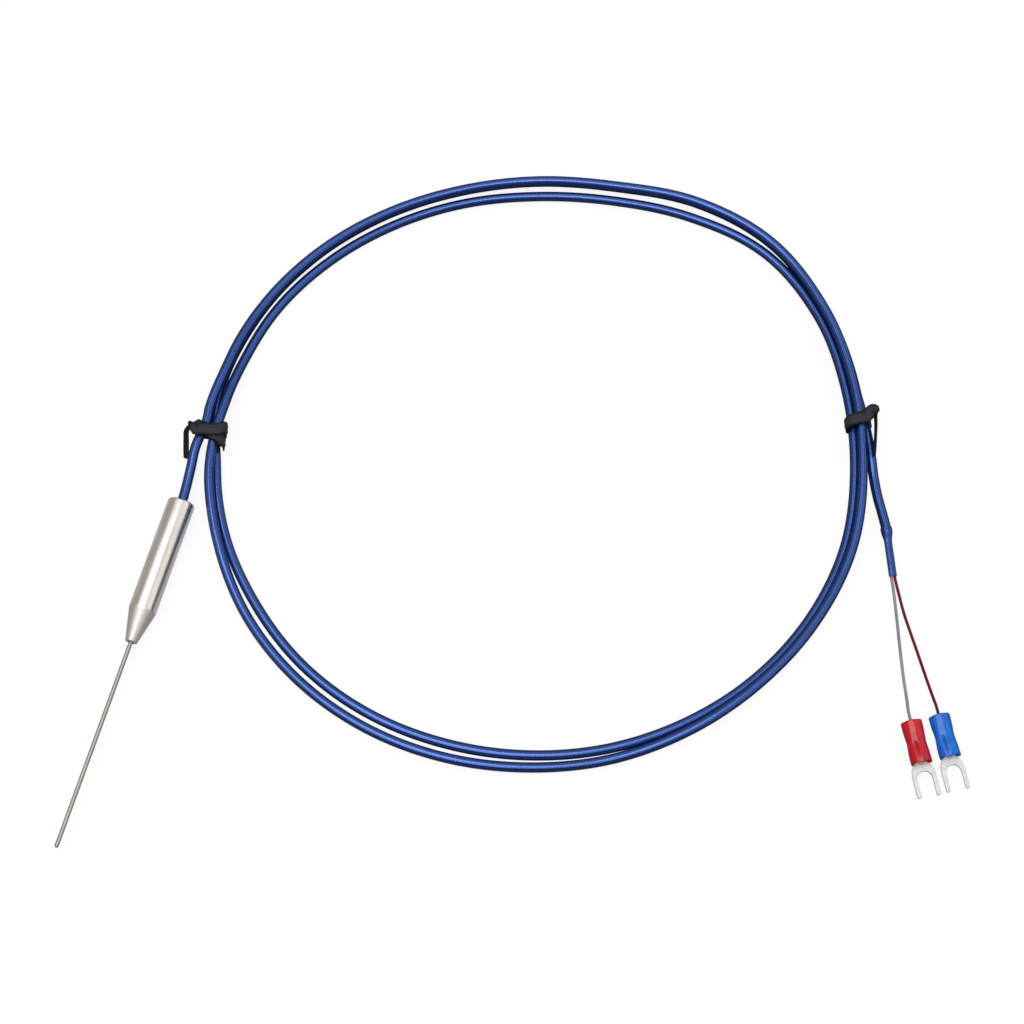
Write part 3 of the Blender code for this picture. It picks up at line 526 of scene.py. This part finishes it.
# Inner pieces keep their solids and get a finish each: name, colour, metal, roughness, speckle
innerLooks = {
    "mineral_insulation": ("packedMineral", (0.84, 0.83, 0.79), 0.0, 0.80, 6000.0),
    "thermoelement_positive": ("positiveWire", (0.58, 0.54, 0.49), 1.0, 0.30, 4000.0),
    "thermoelement_negative": ("negativeWire", (0.50, 0.50, 0.52), 1.0, 0.30, 4000.0),
    "measuring_junction": ("weldedBead", (0.52, 0.50, 0.48), 1.0, 0.35, 5000.0),
    "core_positive": ("whiteCore", (0.72, 0.71, 0.70), 0.0, 0.40, 3000.0),
    "core_negative": ("redCore", (0.34, 0.01, 0.03), 0.0, 0.40, 3000.0),
    "potting_compound": ("pottingResin", (0.022, 0.022, 0.026), 0.0, 0.30, 1800.0),
}
innerFinishes = {name: makeInner(*look) for name, look in innerLooks.items()}
for name in ("splice_positive", "splice_negative", "conductor_white", "conductor_red"):
    innerFinishes[name] = tinFinish
for name, finish in innerFinishes.items():
    paint(nodes[name].data, finish)
print("inner pieces finished:", len(innerFinishes))


# Needle: a drawn sheath with a closed, rounded tip
needle = {"tip": -43.0, "end": 19.0, "diameter": 1.0, "wall": 0.15, "tipWall": 0.35, "rings": 30,
          "steps": 48}
axisHeight = 3.25
alongProbe = Matrix.Translation((0.0, 0.0, axisHeight * mm)) @ Matrix.Rotation(-math.pi / 2, 4, "X")


def makeNeedle(size):
    radius = size["diameter"] / 2
    bore = radius - size["wall"]
    tip = size["tip"]
    end = size["end"]
    straight = [(radius, end - (end - tip - radius) * k / size["rings"]) for k in range(size["rings"])]
    dome = [(radius * math.cos(a), tip + radius - radius * math.sin(a)) for a in arc(7.5, 0, 12)]
    closed = [(0.0, tip), (0.0, tip + size["tipWall"]), (bore, tip + size["tipWall"])]
    profile = [(bore, end)] + straight + dome + closed
    piece = lathe("needleSheath", profile, needleSteel, size["steps"], alongProbe)
    settle(piece, "needle_steel", "probe_sheath")


makeNeedle(needle)


# Sleeve: turned bar with a cone, a beaded nose and a bored rear
sleeve = {"nose": 7.0, "rear": 43.0, "diameter": 6.5, "cone": 7.6, "noseDiameter": 3.0, "noseLength": 0.5,
          "noseRound": 0.3, "counterbore": 1.7, "counterboreDepth": 1.4, "needleFit": 1.06, "bore": 4.6,
          "boreDepth": 27.0, "drillPoint": 59.0, "chamfer": 0.35, "round": 0.16, "innerRound": 0.06,
          "steps": 96}


def makeSleeve(size):
    outer = size["diameter"] / 2
    nose = size["noseDiameter"] / 2
    bore = size["bore"] / 2
    fit = size["needleFit"] / 2
    mouth = size["counterbore"] / 2
    front = size["nose"]
    rear = size["rear"]
    cone = front + size["noseLength"]
    bottom = rear - size["boreDepth"]
    point = bottom - (bore - fit) / math.tan(math.radians(size["drillPoint"]))
    lipRadius = size["noseRound"]
    chamfer = size["chamfer"]
    seam = (bore, rear - 1.0)
    outline = [seam, (bore, rear), (outer - chamfer, rear), (outer, rear - chamfer),
               (outer, cone + size["cone"]), (nose, cone)]
    lip = [(nose - lipRadius + lipRadius * math.cos(a), front + lipRadius - lipRadius * math.sin(a))
           for a in arc(15, 0, 7)]
    step = front + size["counterboreDepth"]
    inside = [(mouth, front), (mouth, step), (fit, step), (fit, point), (bore, bottom), seam]
    profile = rounded(outline, size["round"]) + lip[1:] + rounded(inside, size["innerRound"])[:-1]
    piece = lathe("turnedSleeve", profile, sleeveSteel, size["steps"], alongProbe, 30.0)
    settle(piece, "sleeve_steel", "transition_sleeve")


makeSleeve(sleeve)
print("probe made")


# Cable: from the sleeve, two and a half turns on each other, out to the breakout
cable = {"diameter": 2.4, "touch": 2.42, "sides": 20, "step": 1.3,
         "leadIn": ((0.0, 34.0, 3.25), (0.0, 38.5, 3.25), (0.0, 43.0, 3.25), (-0.2, 46.0, 3.3),
                    (-0.5, 49.5, 3.5), (-0.8, 52.6, 3.85), (-1.25, 57.0, 4.3)),
         "leadOut": ((155.4, 96.8, 1.3), (156.7, 93.7, 1.2), (158.0, 90.9, 1.2), (159.6, 87.9, 1.25),
                     (161.5, 84.2, 1.4), (161.9, 83.2, 1.4))}
coil = {"centre": (76.5, 77.5), "meanRadius": 76.0,
        "radii": (77.6, 77.6, 78.5, 80.1, 80.6, 77.5, 73.7, 72.1, 71.9, 72.6, 73.9, 75.3,
                  76.0, 76.3, 76.3, 76.0, 75.6, 74.9, 74.2, 73.9, 74.2, 74.7, 75.5, 76.6),
        "spreads": (0.84, 0.81, 0.85, 0.84, 1.22, 1.79, 1.54, 1.59, 1.36, 1.34, 1.33, 1.25,
                    1.29, 0.79, 0.93, 1.56, 1.61, 1.63, 1.60, 1.42, 1.29, 1.11, 0.84, 0.79),
        "start": 190.0, "end": -705.0, "firstCross": (-158.0, -175.0), "secondCross": (-521.0, -537.0),
        "startOut": 1.35, "startReach": 12.0, "exitFrom": -692.0, "exitShare": 0.10, "exitPower": 1.12,
        "viewBearing": 106.3, "viewShift": 0.87, "ties": (191.5, 22.9), "tieLift": 0.9, "liftReach": 15.0,
        "liftSlope": 1.6, "softening": 5, "passes": 4}


def ringValue(values, bearing):
    count = len(values)
    place = (bearing % 360.0) / (360.0 / count)
    i = int(place)
    a, b, c, d = (values[(i + k) % count] for k in (-1, 0, 1, 2))
    return between(a, b, c, d, place - i)


def apart(first, second):
    return abs((first - second + 180.0) % 360.0 - 180.0)


def coilLift(bearing):
    nearest = min(apart(bearing, tie) for tie in coil["ties"])
    return coil["tieLift"] * ease(coil["liftSlope"] * (1 - nearest / coil["liftReach"]))


def strandRadius(turned):
    spread = ringValue(coil["spreads"], turned)
    shifted = spread + coil["viewShift"] * math.cos(math.radians(turned - coil["viewBearing"]))
    hidden = max(shifted, cable["diameter"] - spread)
    inner = -spread
    start, end = coil["firstCross"]
    offset = spread + (inner - spread) * ease((turned - start) / (end - start))
    start, end = coil["secondCross"]
    if turned < start:
        offset = inner + (hidden - inner) * ease((turned - start) / (end - start))
    offset += coil["startOut"] * ease((turned - coil["start"]) / coil["startReach"] + 1)
    offset += coil["exitShare"] * max(0.0, coil["exitFrom"] - turned) ** coil["exitPower"]
    return ringValue(coil["radii"], turned) + offset


def layHeights(turns, radii):
    strand = cable["diameter"] / 2
    ground = [coilLift(turned) + strand for turned in turns]
    heights = list(ground)
    reach = coil["softening"]
    for _ in range(coil["passes"]):  # each turn rests on the turns laid under it
        raised = []
        for i, place in enumerate(radii):
            height = ground[i]
            for below in (i + 360, i + 720):
                if below < len(radii):
                    gap = cable["touch"] ** 2 - (place - radii[below]) ** 2
                    if gap > 0:
                        height = max(height, heights[below] + math.sqrt(gap))
            raised.append(height)
        widened = [max(raised[max(0, i - reach):i + reach + 1]) for i in range(len(raised))]
        heights = []
        for i in range(len(widened)):
            window = widened[max(0, i - reach):i + reach + 1]
            heights.append(max(raised[i], sum(window) / len(window)))
    return heights


def cablePath():
    count = int(coil["start"] - coil["end"])
    turns = [coil["start"] - k for k in range(count + 16)]
    radii = [strandRadius(turned) for turned in turns]
    heights = layHeights(turns, radii)
    wound = []
    for turned, radius, height in list(zip(turns, radii, heights))[:count:2]:
        angle = math.radians(turned)
        wound.append(Vector((coil["centre"][0] + radius * math.cos(angle),
                             coil["centre"][1] + radius * math.sin(angle), height)))
    points = [Vector(p) for p in cable["leadIn"]] + wound + [Vector(p) for p in cable["leadOut"]]
    return [point * mm for point in catmullRom(points, step=cable["step"])]


cableLine = cablePath()
cableLength = lengthOf(cableLine)
cablePiece = cordPiece("blueCable", cableLine, cable["diameter"] * mm, cable["sides"], jacketFinish)
settle(cablePiece, "blue_jacket", "cable_lead_in", "cable_coil", "cable_lead_out")
print("cable laid:", round(cableLength, 4), "m")


# Ties: flat ribbons with a wire along the middle
tie = {"width": 3.0, "thickness": 0.42, "wire": 0.62, "bevel": 0.12, "lip": 0.45, "rib": (0.42, 0.55),
       "clearance": 0.2, "thick": 0.6, "lap": 0.12, "lapTurn": 45.0, "stationStep": 7.5, "parts": 4,
       "tipNarrow": 0.10, "wedges": ((194.2, 2.0), (20.4, 1.0)), "wedgeReach": 9.0, "power": 3.0}
tieLeft = {"bearing": 191.5, "start": -165, "end": -660, "lapFrom": -540,
           "shifts": (2.9, 2.9, 1.9, 0.1, -0.5, -0.5, -0.5, -0.5, -0.5, -0.5, -0.15, 0.8, 1.0),
           "ear": ((0.65, -0.6, 6.1, (0.0, 0.5, 0.85)), (1.2, -0.6, 5.5, (0.0, 0.35, 0.95)),
                   (2.1, 0.1, 4.6, (0.05, 0.3, 0.95)), (2.5, 1.1, 4.0, (0.15, 0.15, 1.0)),
                   (2.35, 2.9, 3.4, (0.22, 0.0, 1.0)), (1.95, 7.1, 2.4, (0.22, 0.0, 1.0)))}
tieRight = {"bearing": 22.9, "start": -30, "end": -285, "lapFrom": None,
            "shifts": (0.3, -0.5, -0.6, -0.1),
            "ear": ((-0.3, 1.0, 6.5, (-0.4, 0.9, 0.3)), (0.6, 1.5, 5.7, (-0.2, 0.6, 0.8)),
                    (0.95, 1.1, 5.2, (0.1, 0.1, 1.0)), (0.9, -0.1, 4.8, (0.0, 0.0, 1.0)),
                    (0.7, -1.9, 4.6, (0.0, 0.0, 1.0)), (0.0, -5.3, 4.5, (0.0, 0.0, 1.0)),
                    (-1.0, -9.4, 4.4, (0.1, 0.0, 1.0)))}


def bundle(bearing):
    spread = ringValue(coil["spreads"], bearing)
    inner = ringValue(coil["radii"], bearing) - spread - cable["diameter"] / 2
    outer = inner + max(2 * cable["diameter"], 2 * spread + cable["diameter"])
    for shoulder, width in tie["wedges"]:
        outer += width * ease(1 - apart(bearing, shoulder) / tie["wedgeReach"])
    bottom = coilLift(bearing)
    return inner, outer, bottom, bottom + 2 * cable["diameter"]


def squircle(angle, halfWidth, halfHeight):
    share = 2 / tie["power"]
    c = math.cos(angle)
    s = math.sin(angle)
    return math.copysign(abs(c) ** share, c) * halfWidth, math.copysign(abs(s) ** share, s) * halfHeight


def tieStations(plan):
    bearing = math.radians(plan["bearing"])
    outward = Vector((math.cos(bearing), math.sin(bearing), 0.0))
    along = Vector((-math.sin(bearing), math.cos(bearing), 0.0))
    centre = Vector((*coil["centre"], 0.0))
    gap = tie["clearance"] + tie["thick"] / 2
    step = tie["stationStep"]
    shifts = plan["shifts"]
    count = round((plan["start"] - plan["end"]) / step)
    stations = []
    for k in range(count + 1):
        angle = plan["start"] - step * k
        place = k / count * (len(shifts) - 1)
        i = min(int(place), len(shifts) - 2)
        shift = shifts[i] + (shifts[i + 1] - shifts[i]) * ease(place - i)
        extra = gap
        if plan["lapFrom"]:
            extra += (tie["thick"] + tie["lap"]) * ease((plan["lapFrom"] - angle) / tie["lapTurn"])
        inner, outer, bottom, top = bundle(plan["bearing"] + math.degrees(shift / coil["meanRadius"]))
        across, up = squircle(math.radians(angle), (outer - inner) / 2 + extra, (top - bottom) / 2 + extra)
        middle = centre + outward * ((inner + outer) / 2 + across) + along * shift
        middle.z = (bottom + top) / 2 + up
        stations.append((middle, along))
    outer = bundle(plan["bearing"])[1]
    places = [stations[-1][0]]
    leans = [along]
    for reach, shift, height, (leanOut, leanAlong, leanUp) in plan["ear"]:
        places.append(centre + outward * (outer + reach) + along * shift + Vector((0.0, 0.0, height)))
        leans.append(outward * leanOut + along * leanAlong + Vector((0.0, 0.0, leanUp)))
    tail = list(zip(catmullRom(places, tie["parts"]), catmullRom(leans, tie["parts"])))
    return stations + tail[1:]


def tieSection():
    half = tie["width"] / 2
    flat = tie["thickness"] / 2
    wire = tie["wire"] / 2
    ribHalf, ribFoot = tie["rib"]
    side = [(-half, flat * tie["lip"]), (-half + tie["bevel"], flat), (-ribFoot, flat)]
    rib = [(ribHalf * math.sin(a), flat + (wire - flat) * math.cos(a) ** 2) for a in arc(30, -3, 4)]
    upper = side + rib + [(-x, y) for x, y in reversed(side)]
    return upper + [(x, -y) for x, y in reversed(upper)]


def makeTie(name, node, plan):
    stations = tieStations(plan)
    middles = [middle for middle, across in stations]
    section = tieSection()
    shape = bmesh.new()
    uvLayer = shape.loops.layers.uv.new("tieMap")
    rows = []
    travelled = 0.0
    for i, (middle, across) in enumerate(stations):
        before = middles[max(0, i - 1)]
        after = middles[min(len(middles) - 1, i + 1)]
        forward = (after - before).normalized()
        wide = (across - forward * across.dot(forward)).normalized()
        thick = forward.cross(wide)
        travelled += (middle - before).length
        narrow = 1.0 - tie["tipNarrow"] * ease((3 - len(stations) + i) / 2)
        row = [shape.verts.new((middle + wide * x * narrow + thick * y) * mm) for x, y in section]
        rows.append((travelled, row))
    count = len(section)
    for (startAt, first), (endAt, second) in zip(rows, rows[1:]):
        for k in range(count):
            j = (k + 1) % count
            face = shape.faces.new((first[k], first[j], second[j], second[k]))
            for loop, (at, x) in zip(face.loops, ((startAt, k), (startAt, j), (endAt, j), (endAt, k))):
                loop[uvLayer].uv = (at, section[x][0] / tie["width"] + 0.5)
    for travelledTo, row in (rows[0], rows[-1]):
        face = shape.faces.new(row)
        for loop in face.loops:
            loop[uvLayer].uv = (travelledTo, 1.0)
    piece = meshFrom(name, shape, tieFinish, 55.0)
    settle(piece, "black_tie", node)


makeTie("twistTieLeft", "tie_left", tieLeft)
makeTie("twistTieRight", "tie_right", tieRight)
print("ties wound")


# Breakout: a shrunk sleeve that flattens over the two leads
breakout = {"start": (161.5, 84.2, 1.4), "end": (165.8, 73.1, 0.9), "mouth": 2.7, "width": 1.9,
            "height": 1.2, "collar": 0.9, "taper": 2.6, "swell": 0.03, "pinch": 0.12, "pinchReach": 3.0,
            "rolled": (0.86, 0.7), "spacing": 0.8, "leadInside": 1.2, "rings": 44, "sides": 32}
lead = {"diameter": 0.72, "sides": 14, "step": 0.9, "inTerminal": 1.9,
        "white": ((166.9, 69.4, 0.55), (169.0, 63.5, 0.4), (171.2, 57.0, 0.5), (173.5, 50.2, 1.0),
                  (175.4, 44.8, 1.9)),
        "red": ((168.1, 69.4, 0.55), (170.3, 65.2, 0.4), (172.7, 61.2, 0.4), (175.3, 56.9, 0.6),
                (178.0, 52.2, 1.1), (180.8, 47.3, 1.9))}
terminal = {"height": 2.45,
            "red": {"rear": (177.5, 39.6), "bearing": -62.9, "channel": 104.0},
            "blue": {"rear": (183.3, 42.8), "bearing": -62.1, "channel": 112.0}}


def breakoutFrame(plan):
    start = Vector(plan["start"])
    end = Vector(plan["end"])
    forward = (end - start).normalized()
    side = forward.cross(Vector((0.0, 0.0, 1.0))).normalized()
    return start, end, forward, side, side.cross(forward)


def ovalRing(middle, across, raised, pinch=0.0):
    ring = []
    for a in fullTurn(breakout["sides"]):
        waist = 1 - pinch * math.sin(a) ** 6
        ring.append((middle + across * math.cos(a) + raised * math.sin(a) * waist) * mm)
    return ring


def makeBreakout(plan):
    start, end, forward, side, up = breakoutFrame(plan)
    length = (end - start).length
    full = plan["mouth"] / 2
    width = plan["width"] / 2
    height = plan["height"] / 2
    rings = []
    for k in range(plan["rings"] + 1):
        along = length * k / plan["rings"]
        slim = ease((along - plan["collar"]) / plan["taper"])
        swell = plan["swell"] * bell(along - plan["collar"] / 2, 0.5)
        wide = full + (width - full) * slim + swell
        high = full + (height - full) * slim + swell
        pinch = plan["pinch"] * ease((along - length) / plan["pinchReach"] + 1)  # it follows both leads
        rings.append(ovalRing(start + forward * along, side * wide, up * high, pinch))
    rounding, last = plan["rolled"]
    for share in (rounding, last):  # rolled end round the leads
        middle = end + forward * (0.05 - (rounding - share) * 2)
        rings.append(ovalRing(middle, side * width * share, up * height * share * (1 - plan["pinch"])))
    piece = skinned("shrinkBreakout", rings, shrinkFinish)
    settle(piece, "shrink_sleeve", "breakout_sleeve")
    return piece


def terminalPlace(plan):
    rear = Vector((*plan["rear"], terminal["height"]))
    return Matrix.Translation(rear) @ Matrix.Rotation(math.radians(plan["bearing"]), 4, "Z")


def leadPath(name, number, plan):
    start, end, forward, side, up = breakoutFrame(breakout)
    mouth = end + side * number * breakout["spacing"] / 2
    place = terminalPlace(plan)
    free = [mouth - forward * breakout["leadInside"], mouth, mouth + forward * lead["diameter"]]
    free += [Vector(p) for p in lead[name]]
    free += [place @ Vector((x, 0.0, 0.0)) for x in (-3 * lead["diameter"], 0.0, lead["inTerminal"])]
    return [p * mm for p in catmullRom(free, step=lead["step"])]


breakoutPiece = makeBreakout(breakout)
whiteLine = leadPath("white", 1, terminal["red"])
redLine = leadPath("red", -1, terminal["blue"])
whiteLead = cordPiece("whiteLead", whiteLine, lead["diameter"] * mm, lead["sides"], whiteLeadFinish)
redLead = cordPiece("redLead", redLine, lead["diameter"] * mm, lead["sides"], redLeadFinish)
settle(whiteLead, "white_insulation", "lead_white")
settle(redLead, "red_insulation", "lead_red")
print("breakout and leads laid")


# Terminals: a crimped vinyl tube over the rolled barrel of a flat fork
insulator = {"length": 10.3, "diameter": 4.9, "waistWidth": 4.5, "waistHeight": 3.6, "waistReach": 0.2,
             "mouth": 3.9, "mouthDepth": 2.0, "barrel": 2.66, "inset": 1.32, "leadHole": 0.82, "edge": 0.45,
             "turns": 96, "rings": 100, "channel": 0.10, "groove": 0.36, "grooveWidth": 12.0,
             "grooveEase": 0.6, "ledge": 0.50, "ledgeReach": 0.025, "ledgeRise": 0.07,
             "ridge": (0.488, 0.022), "lobes": 0.13, "flat": 0.05, "flats": (34.0, -30.0), "flatWidth": 12.0}
fork = {"width": 5.5, "slot": 3.6, "length": 7.5, "crown": 1.5, "thickness": 0.8, "neck": 2.7,
        "barrel": 2.5, "bore": 1.5, "barrelLength": 7.8, "inset": 1.4, "edge": 0.14, "barrelRound": 0.12,
        "tuck": 0.08, "steps": 48}


def insulatorSkin(size, t, angle, turned):
    full = size["diameter"] / 2
    pinch = bell(t - 0.5, size["waistReach"])
    wide = full + (size["waistWidth"] / 2 - full) * pinch
    high = full + (size["waistHeight"] / 2 - full) * pinch
    channel = bell(turned, size["grooveWidth"])
    ahead = ease((t - size["ledge"]) / size["ledgeReach"])
    step = size["groove"] * channel * ahead * (1 - size["grooveEase"] * ease((t - 0.6) / 0.4))
    step += size["channel"] * channel * (1 - ahead) * ease(t / 0.08)
    ridgeAt, ridgeReach = size["ridge"]
    ridge = size["ledgeRise"] * channel * bell(t - ridgeAt, ridgeReach)
    flats = size["flat"] * sum(bell(turned - at, size["flatWidth"]) for at in size["flats"])
    lobe = size["lobes"] * math.sin(3 * angle + 0.6) * ease((t - 0.88) / 0.12)
    reach = ridge - step - flats * (1 - pinch) + lobe * 0.5
    return math.cos(angle) * (wide + reach), math.sin(angle) * (high + reach)


def hollowShade(size, t, turned):
    paintedShade = bell(turned, size["grooveWidth"] * 0.62)  # painted shade, darker in the channel and at the front rim
    ahead = ease((t - size["ledge"] - 0.004) / 0.03) * (1 - ease((t - 0.62) / 0.34))
    behind = 0.22 * (1 - ease((t - 0.44) / 0.04)) * ease((t - 0.05) / 0.2)
    return paintedShade * (ahead + behind) + 0.8 * ease((t - 0.972) / 0.028)


def scallop(size, angle, share):
    return size["lobes"] * math.sin(4 * angle + 1.1) * ease(share)


def makeInsulator(name, node, slot, plan, finish):
    size = insulator
    place = terminalPlace(plan)
    angles = fullTurn(size["turns"])
    edge = size["edge"]
    length = size["length"]
    full = size["diameter"] / 2
    rings = []
    shades = []
    for k in range(size["rings"] + 1):
        t = k / size["rings"]
        along = edge * 0.5 + (length - edge) * t
        nearEnd = min(1.0, min(along, length - along) / edge)
        share = 1 - edge * (1 - math.sqrt(max(0.0, 1 - (1 - nearEnd) ** 2))) / full
        ring = []
        for a in angles:
            turned = (math.degrees(a) - plan["channel"] + 180.0) % 360.0 - 180.0
            y, z = insulatorSkin(size, t, a, turned)
            front = along + scallop(size, a, (t - 0.9) / 0.1)
            ring.append(place @ Vector((front, y * share, z * share)) * mm)
            shades.append(hollowShade(size, t, turned))
        rings.append(ring)
    mouth = size["mouth"] / 2
    barrel = size["barrel"] / 2
    hole = size["leadHole"] / 2
    inset = size["inset"]
    deep = length - size["mouthDepth"]
    inside = [(length - 0.12, mouth + 0.16), (length - 0.3, mouth), (deep + 0.2, mouth - 0.05),
              (deep, mouth - 0.2), (deep - (mouth - barrel), barrel), (inset, barrel),
              (inset, hole), (0.1, hole), (0.0, hole + 0.1), (0.0, full - edge - 0.35)]
    for along, radius in inside:
        ring = []
        for a in angles:
            front = along + scallop(size, a, (along - length + 0.6) / 0.5)
            ring.append(place @ Vector((front, math.cos(a) * radius, math.sin(a) * radius)) * mm)
        rings.append(ring)
    piece = skinned(name, rings, finish, closed=True, sharp=60.0)
    # each point of the outer skin keeps its share of painted shade
    hollow = piece.data.attributes.new("hollow", "FLOAT", "POINT")
    hollow.data.foreach_set("value", shades + [0.0] * (len(piece.data.vertices) - len(shades)))
    settle(piece, slot, node)
    return piece


def forkOutline(size):
    half = size["width"] / 2
    slot = size["slot"] / 2
    neck = size["neck"] / 2
    mouth = insulator["length"]
    front = mouth + size["length"]
    rear = mouth - insulator["mouthDepth"] + size["tuck"]
    shoulder = mouth + size["crown"] + slot
    rise = mouth - size["crown"] * 0.3
    right = [(rear, neck), (rise, neck)]
    right += [(shoulder - (shoulder - rise) * math.cos(a), neck + (half - neck) * math.sin(a))
              for a in arc(7.5, 1, 13)]
    middle = (half + slot) / 2
    tip = (half - slot) / 2
    right += [(front - tip + tip * math.sin(a), middle + tip * math.cos(a)) for a in arc(15, 0, 13)]
    upper = right + [(shoulder - slot * math.sin(a), slot * math.cos(a)) for a in arc(7.5, 0, 13)]
    return upper + [(x, -y) for x, y in reversed(upper[:-1])]


def makeFork(name, node, plan):
    size = fork
    outline = [(x * mm, y * mm, 0.0) for x, y in forkOutline(size)]
    curve = drawnCurve(name, "2D", outline)
    curve.splines[0].use_cyclic_u = True
    curve.fill_mode = "BOTH"
    curve.extrude = (size["thickness"] / 2 - size["edge"]) * mm
    curve.bevel_depth = size["edge"] * mm
    curve.bevel_resolution = 2
    curve.offset = -size["edge"] * mm
    shape = bmesh.new()
    shape.from_mesh(baked(addPiece(name + "Flat", curve)))
    bmesh.ops.remove_doubles(shape, verts=shape.verts, dist=1e-7)
    low = (size["thickness"] - size["barrel"]) / 2
    bmesh.ops.transform(shape, matrix=forkPlace(plan, low), verts=shape.verts)
    tongue = meshFrom(name, shape, tinFinish, 30.0)
    start = size["inset"]
    end = start + size["barrelLength"]
    outer = size["barrel"] / 2
    inner = size["bore"] / 2
    seam = (inner, (start + end) / 2)
    corners = [seam, (inner, end), (outer, end), (outer, start), (inner, start), seam]
    tube = rounded(corners, size["barrelRound"])
    plug = [(0.0, end + 1), (inner, end + 1), (inner, start - 1), (0.0, start - 1)]
    axis = forkPlace(plan) @ Matrix.Rotation(math.pi / 2, 4, "Y")
    helpers = []
    for part, profile, operation in (("Barrel", tube[:-1], "UNION"), ("Bore", plug, "DIFFERENCE")):
        helper = lathe(name + part, profile, tinFinish, size["steps"], axis)
        change = tongue.modifiers.new(part, "BOOLEAN")
        change.operation = operation
        change.solver = "EXACT"
        change.object = helper
        helpers.append(helper)
    piece = softPiece(name, baked(tongue, *helpers), tinFinish, 30.0)
    settle(piece, "tinned_copper", node)
    return piece


def forkPlace(plan, height=0.0):
    moved = terminalPlace(plan) @ Matrix.Translation((0.0, 0.0, height))
    moved.translation = moved.translation * mm
    return moved


redInsulator = makeInsulator("redInsulator", "insulator_red", "red_vinyl", terminal["red"], redVinyl)
blueInsulator = makeInsulator("blueInsulator", "insulator_blue", "blue_vinyl", terminal["blue"], blueVinyl)
redFork = makeFork("redTerminalFork", "fork_red", terminal["red"])
blueFork = makeFork("blueTerminalFork", "fork_blue", terminal["blue"])
print("terminals made")


# Lengths of the two leads, worked out but not kept
for piece, line, ends in ((whiteLead, whiteLine, [redInsulator, redFork]),
                          (redLead, redLine, [blueInsulator, blueFork])):
    round(lengthOf(line), 4)


# Studio: pale floor, a broad soft light overhead, a dimmer wall to the left, dark low down to the right
studio = {"floorSize": 4.0, "floorDrop": 0.00005, "floorMiddle": (0.08, 0.06), "floor": 0.80, "bounce": 0.42,
          "mirrored": 0.08, "cameraWhite": 0.88, "glossWhite": 0.08, "poolWhite": 0.48,
          "pool": ((0.014, 0.040), (0.050, 0.090)), "level": 1.2, "warm": (1.0, 0.92, 0.84),
          "wall": (0.70, 0.735), "frontDark": 0.88, "front": (0.50, 0.80), "back": (0.55, 0.85),
          "backLevel": 0.45, "screenUp": (-0.281, 0.960),
          "arch": ((0.0, 0.02), (0.045, 0.02), (0.095, 0.94), (0.29, 0.94), (0.32, 0.70), (0.385, 0.70),
                   (0.42, 1.0), (0.70, 1.0), (0.735, 0.40), (1.0, 0.40)),
          "keyPower": 7.5, "keySize": 0.9, "keyPlace": (-0.06, -0.13, 1.15)}


def makeFloor():
    middle = studio["floorMiddle"]
    grey = (studio["floor"],) * 3
    bpy.ops.mesh.primitive_plane_add(size=studio["floorSize"], location=(*middle, -studio["floorDrop"]))
    floor = bpy.context.object
    floor.name = "floor"
    finish = Finish("paleFloor", grey, Roughness=0.9, Specular_IOR_Level=0.1)
    rays = finish.node("ShaderNodeLightPath", output="Is Camera Ray")
    glossy = rays.out("Is Glossy Ray").maths("MAXIMUM", rays.out("Is Transmission Ray"))
    place = finish.split(finish.place())
    # seen in reflections the floor is painted dark as shade, with a painted pool of light near the probe
    (nearX, farX), (nearY, farY) = studio["pool"]
    pool = ((1 - (place.out("X") + middle[0]).between(nearX, farX))
            * (1 - (place.out("Y") + middle[1]).between(nearY, farY)))
    gloss = pool * (studio["poolWhite"] - studio["glossWhite"]) + studio["glossWhite"]
    shade = finish.mixed(rays, (studio["bounce"],) * 3, grey)
    finish.set("Base Color", finish.mixed(glossy, shade, (studio["mirrored"],) * 3))
    white = finish.node("ShaderNodeEmission", None, {"Color": (1.0, 1.0, 1.0, 1.0), "Strength": 1.0})
    shaders = {0: rays * studio["cameraWhite"] + glossy * gloss,
               1: Wire(finish, finish.shader.outputs[0]), 2: white}
    both = finish.node("ShaderNodeMixShader", None, shaders)
    finish.tree.links.new(both.socket, finish.tree.nodes["Material Output"].inputs["Surface"])
    floor.data.materials.append(finish.material)


def makeWorld():
    world = bpy.data.worlds.new("studio")
    bpy.context.scene.world = world
    world.use_nodes = True
    graph = Graph(world.node_tree)
    away = graph.node("ShaderNodeTexCoord", output="Generated")
    axes = graph.split(away)
    over = axes.out("Z").maths("ARCTAN2", axes.out("X")) / math.pi  # 0 at the right horizon, 1 at the left
    arch = graph.node("ShaderNodeValToRGB", {"stops": studio["arch"]}, {0: over}) * studio["level"]
    across, up = studio["screenUp"]
    backward = axes.out("X") * across + axes.out("Y") * up
    back = backward.between(*studio["back"])
    level = arch * (1 - back) + back * studio["backLevel"]
    level = level * (1 - (0.0 - backward).between(*studio["front"]) * studio["frontDark"])
    rays = graph.node("ShaderNodeLightPath", output="Is Camera Ray")
    wall = over.between(*studio["wall"]) * (1 - rays)
    tint = graph.mixed(wall, (1.0, 1.0, 1.0), studio["warm"])
    background = graph.tree.nodes["Background"].inputs
    graph.tree.links.new(tint.socket, background["Color"])
    graph.tree.links.new((level * (1 - rays) + rays).socket, background["Strength"])


def makeKey():
    data = bpy.data.lights.new("key", "AREA")
    data.shape = "DISK"
    data.size = studio["keySize"]
    data.energy = studio["keyPower"]
    key = bpy.data.objects.new("key", data)
    key.location = studio["keyPlace"]
    aim = Vector((*studio["floorMiddle"], 0.0)) - key.location
    key.rotation_euler = aim.to_track_quat("-Z", "Y").to_euler()
    bpy.context.scene.collection.objects.link(key)


makeFloor()
makeWorld()
makeKey()
print("studio lit")
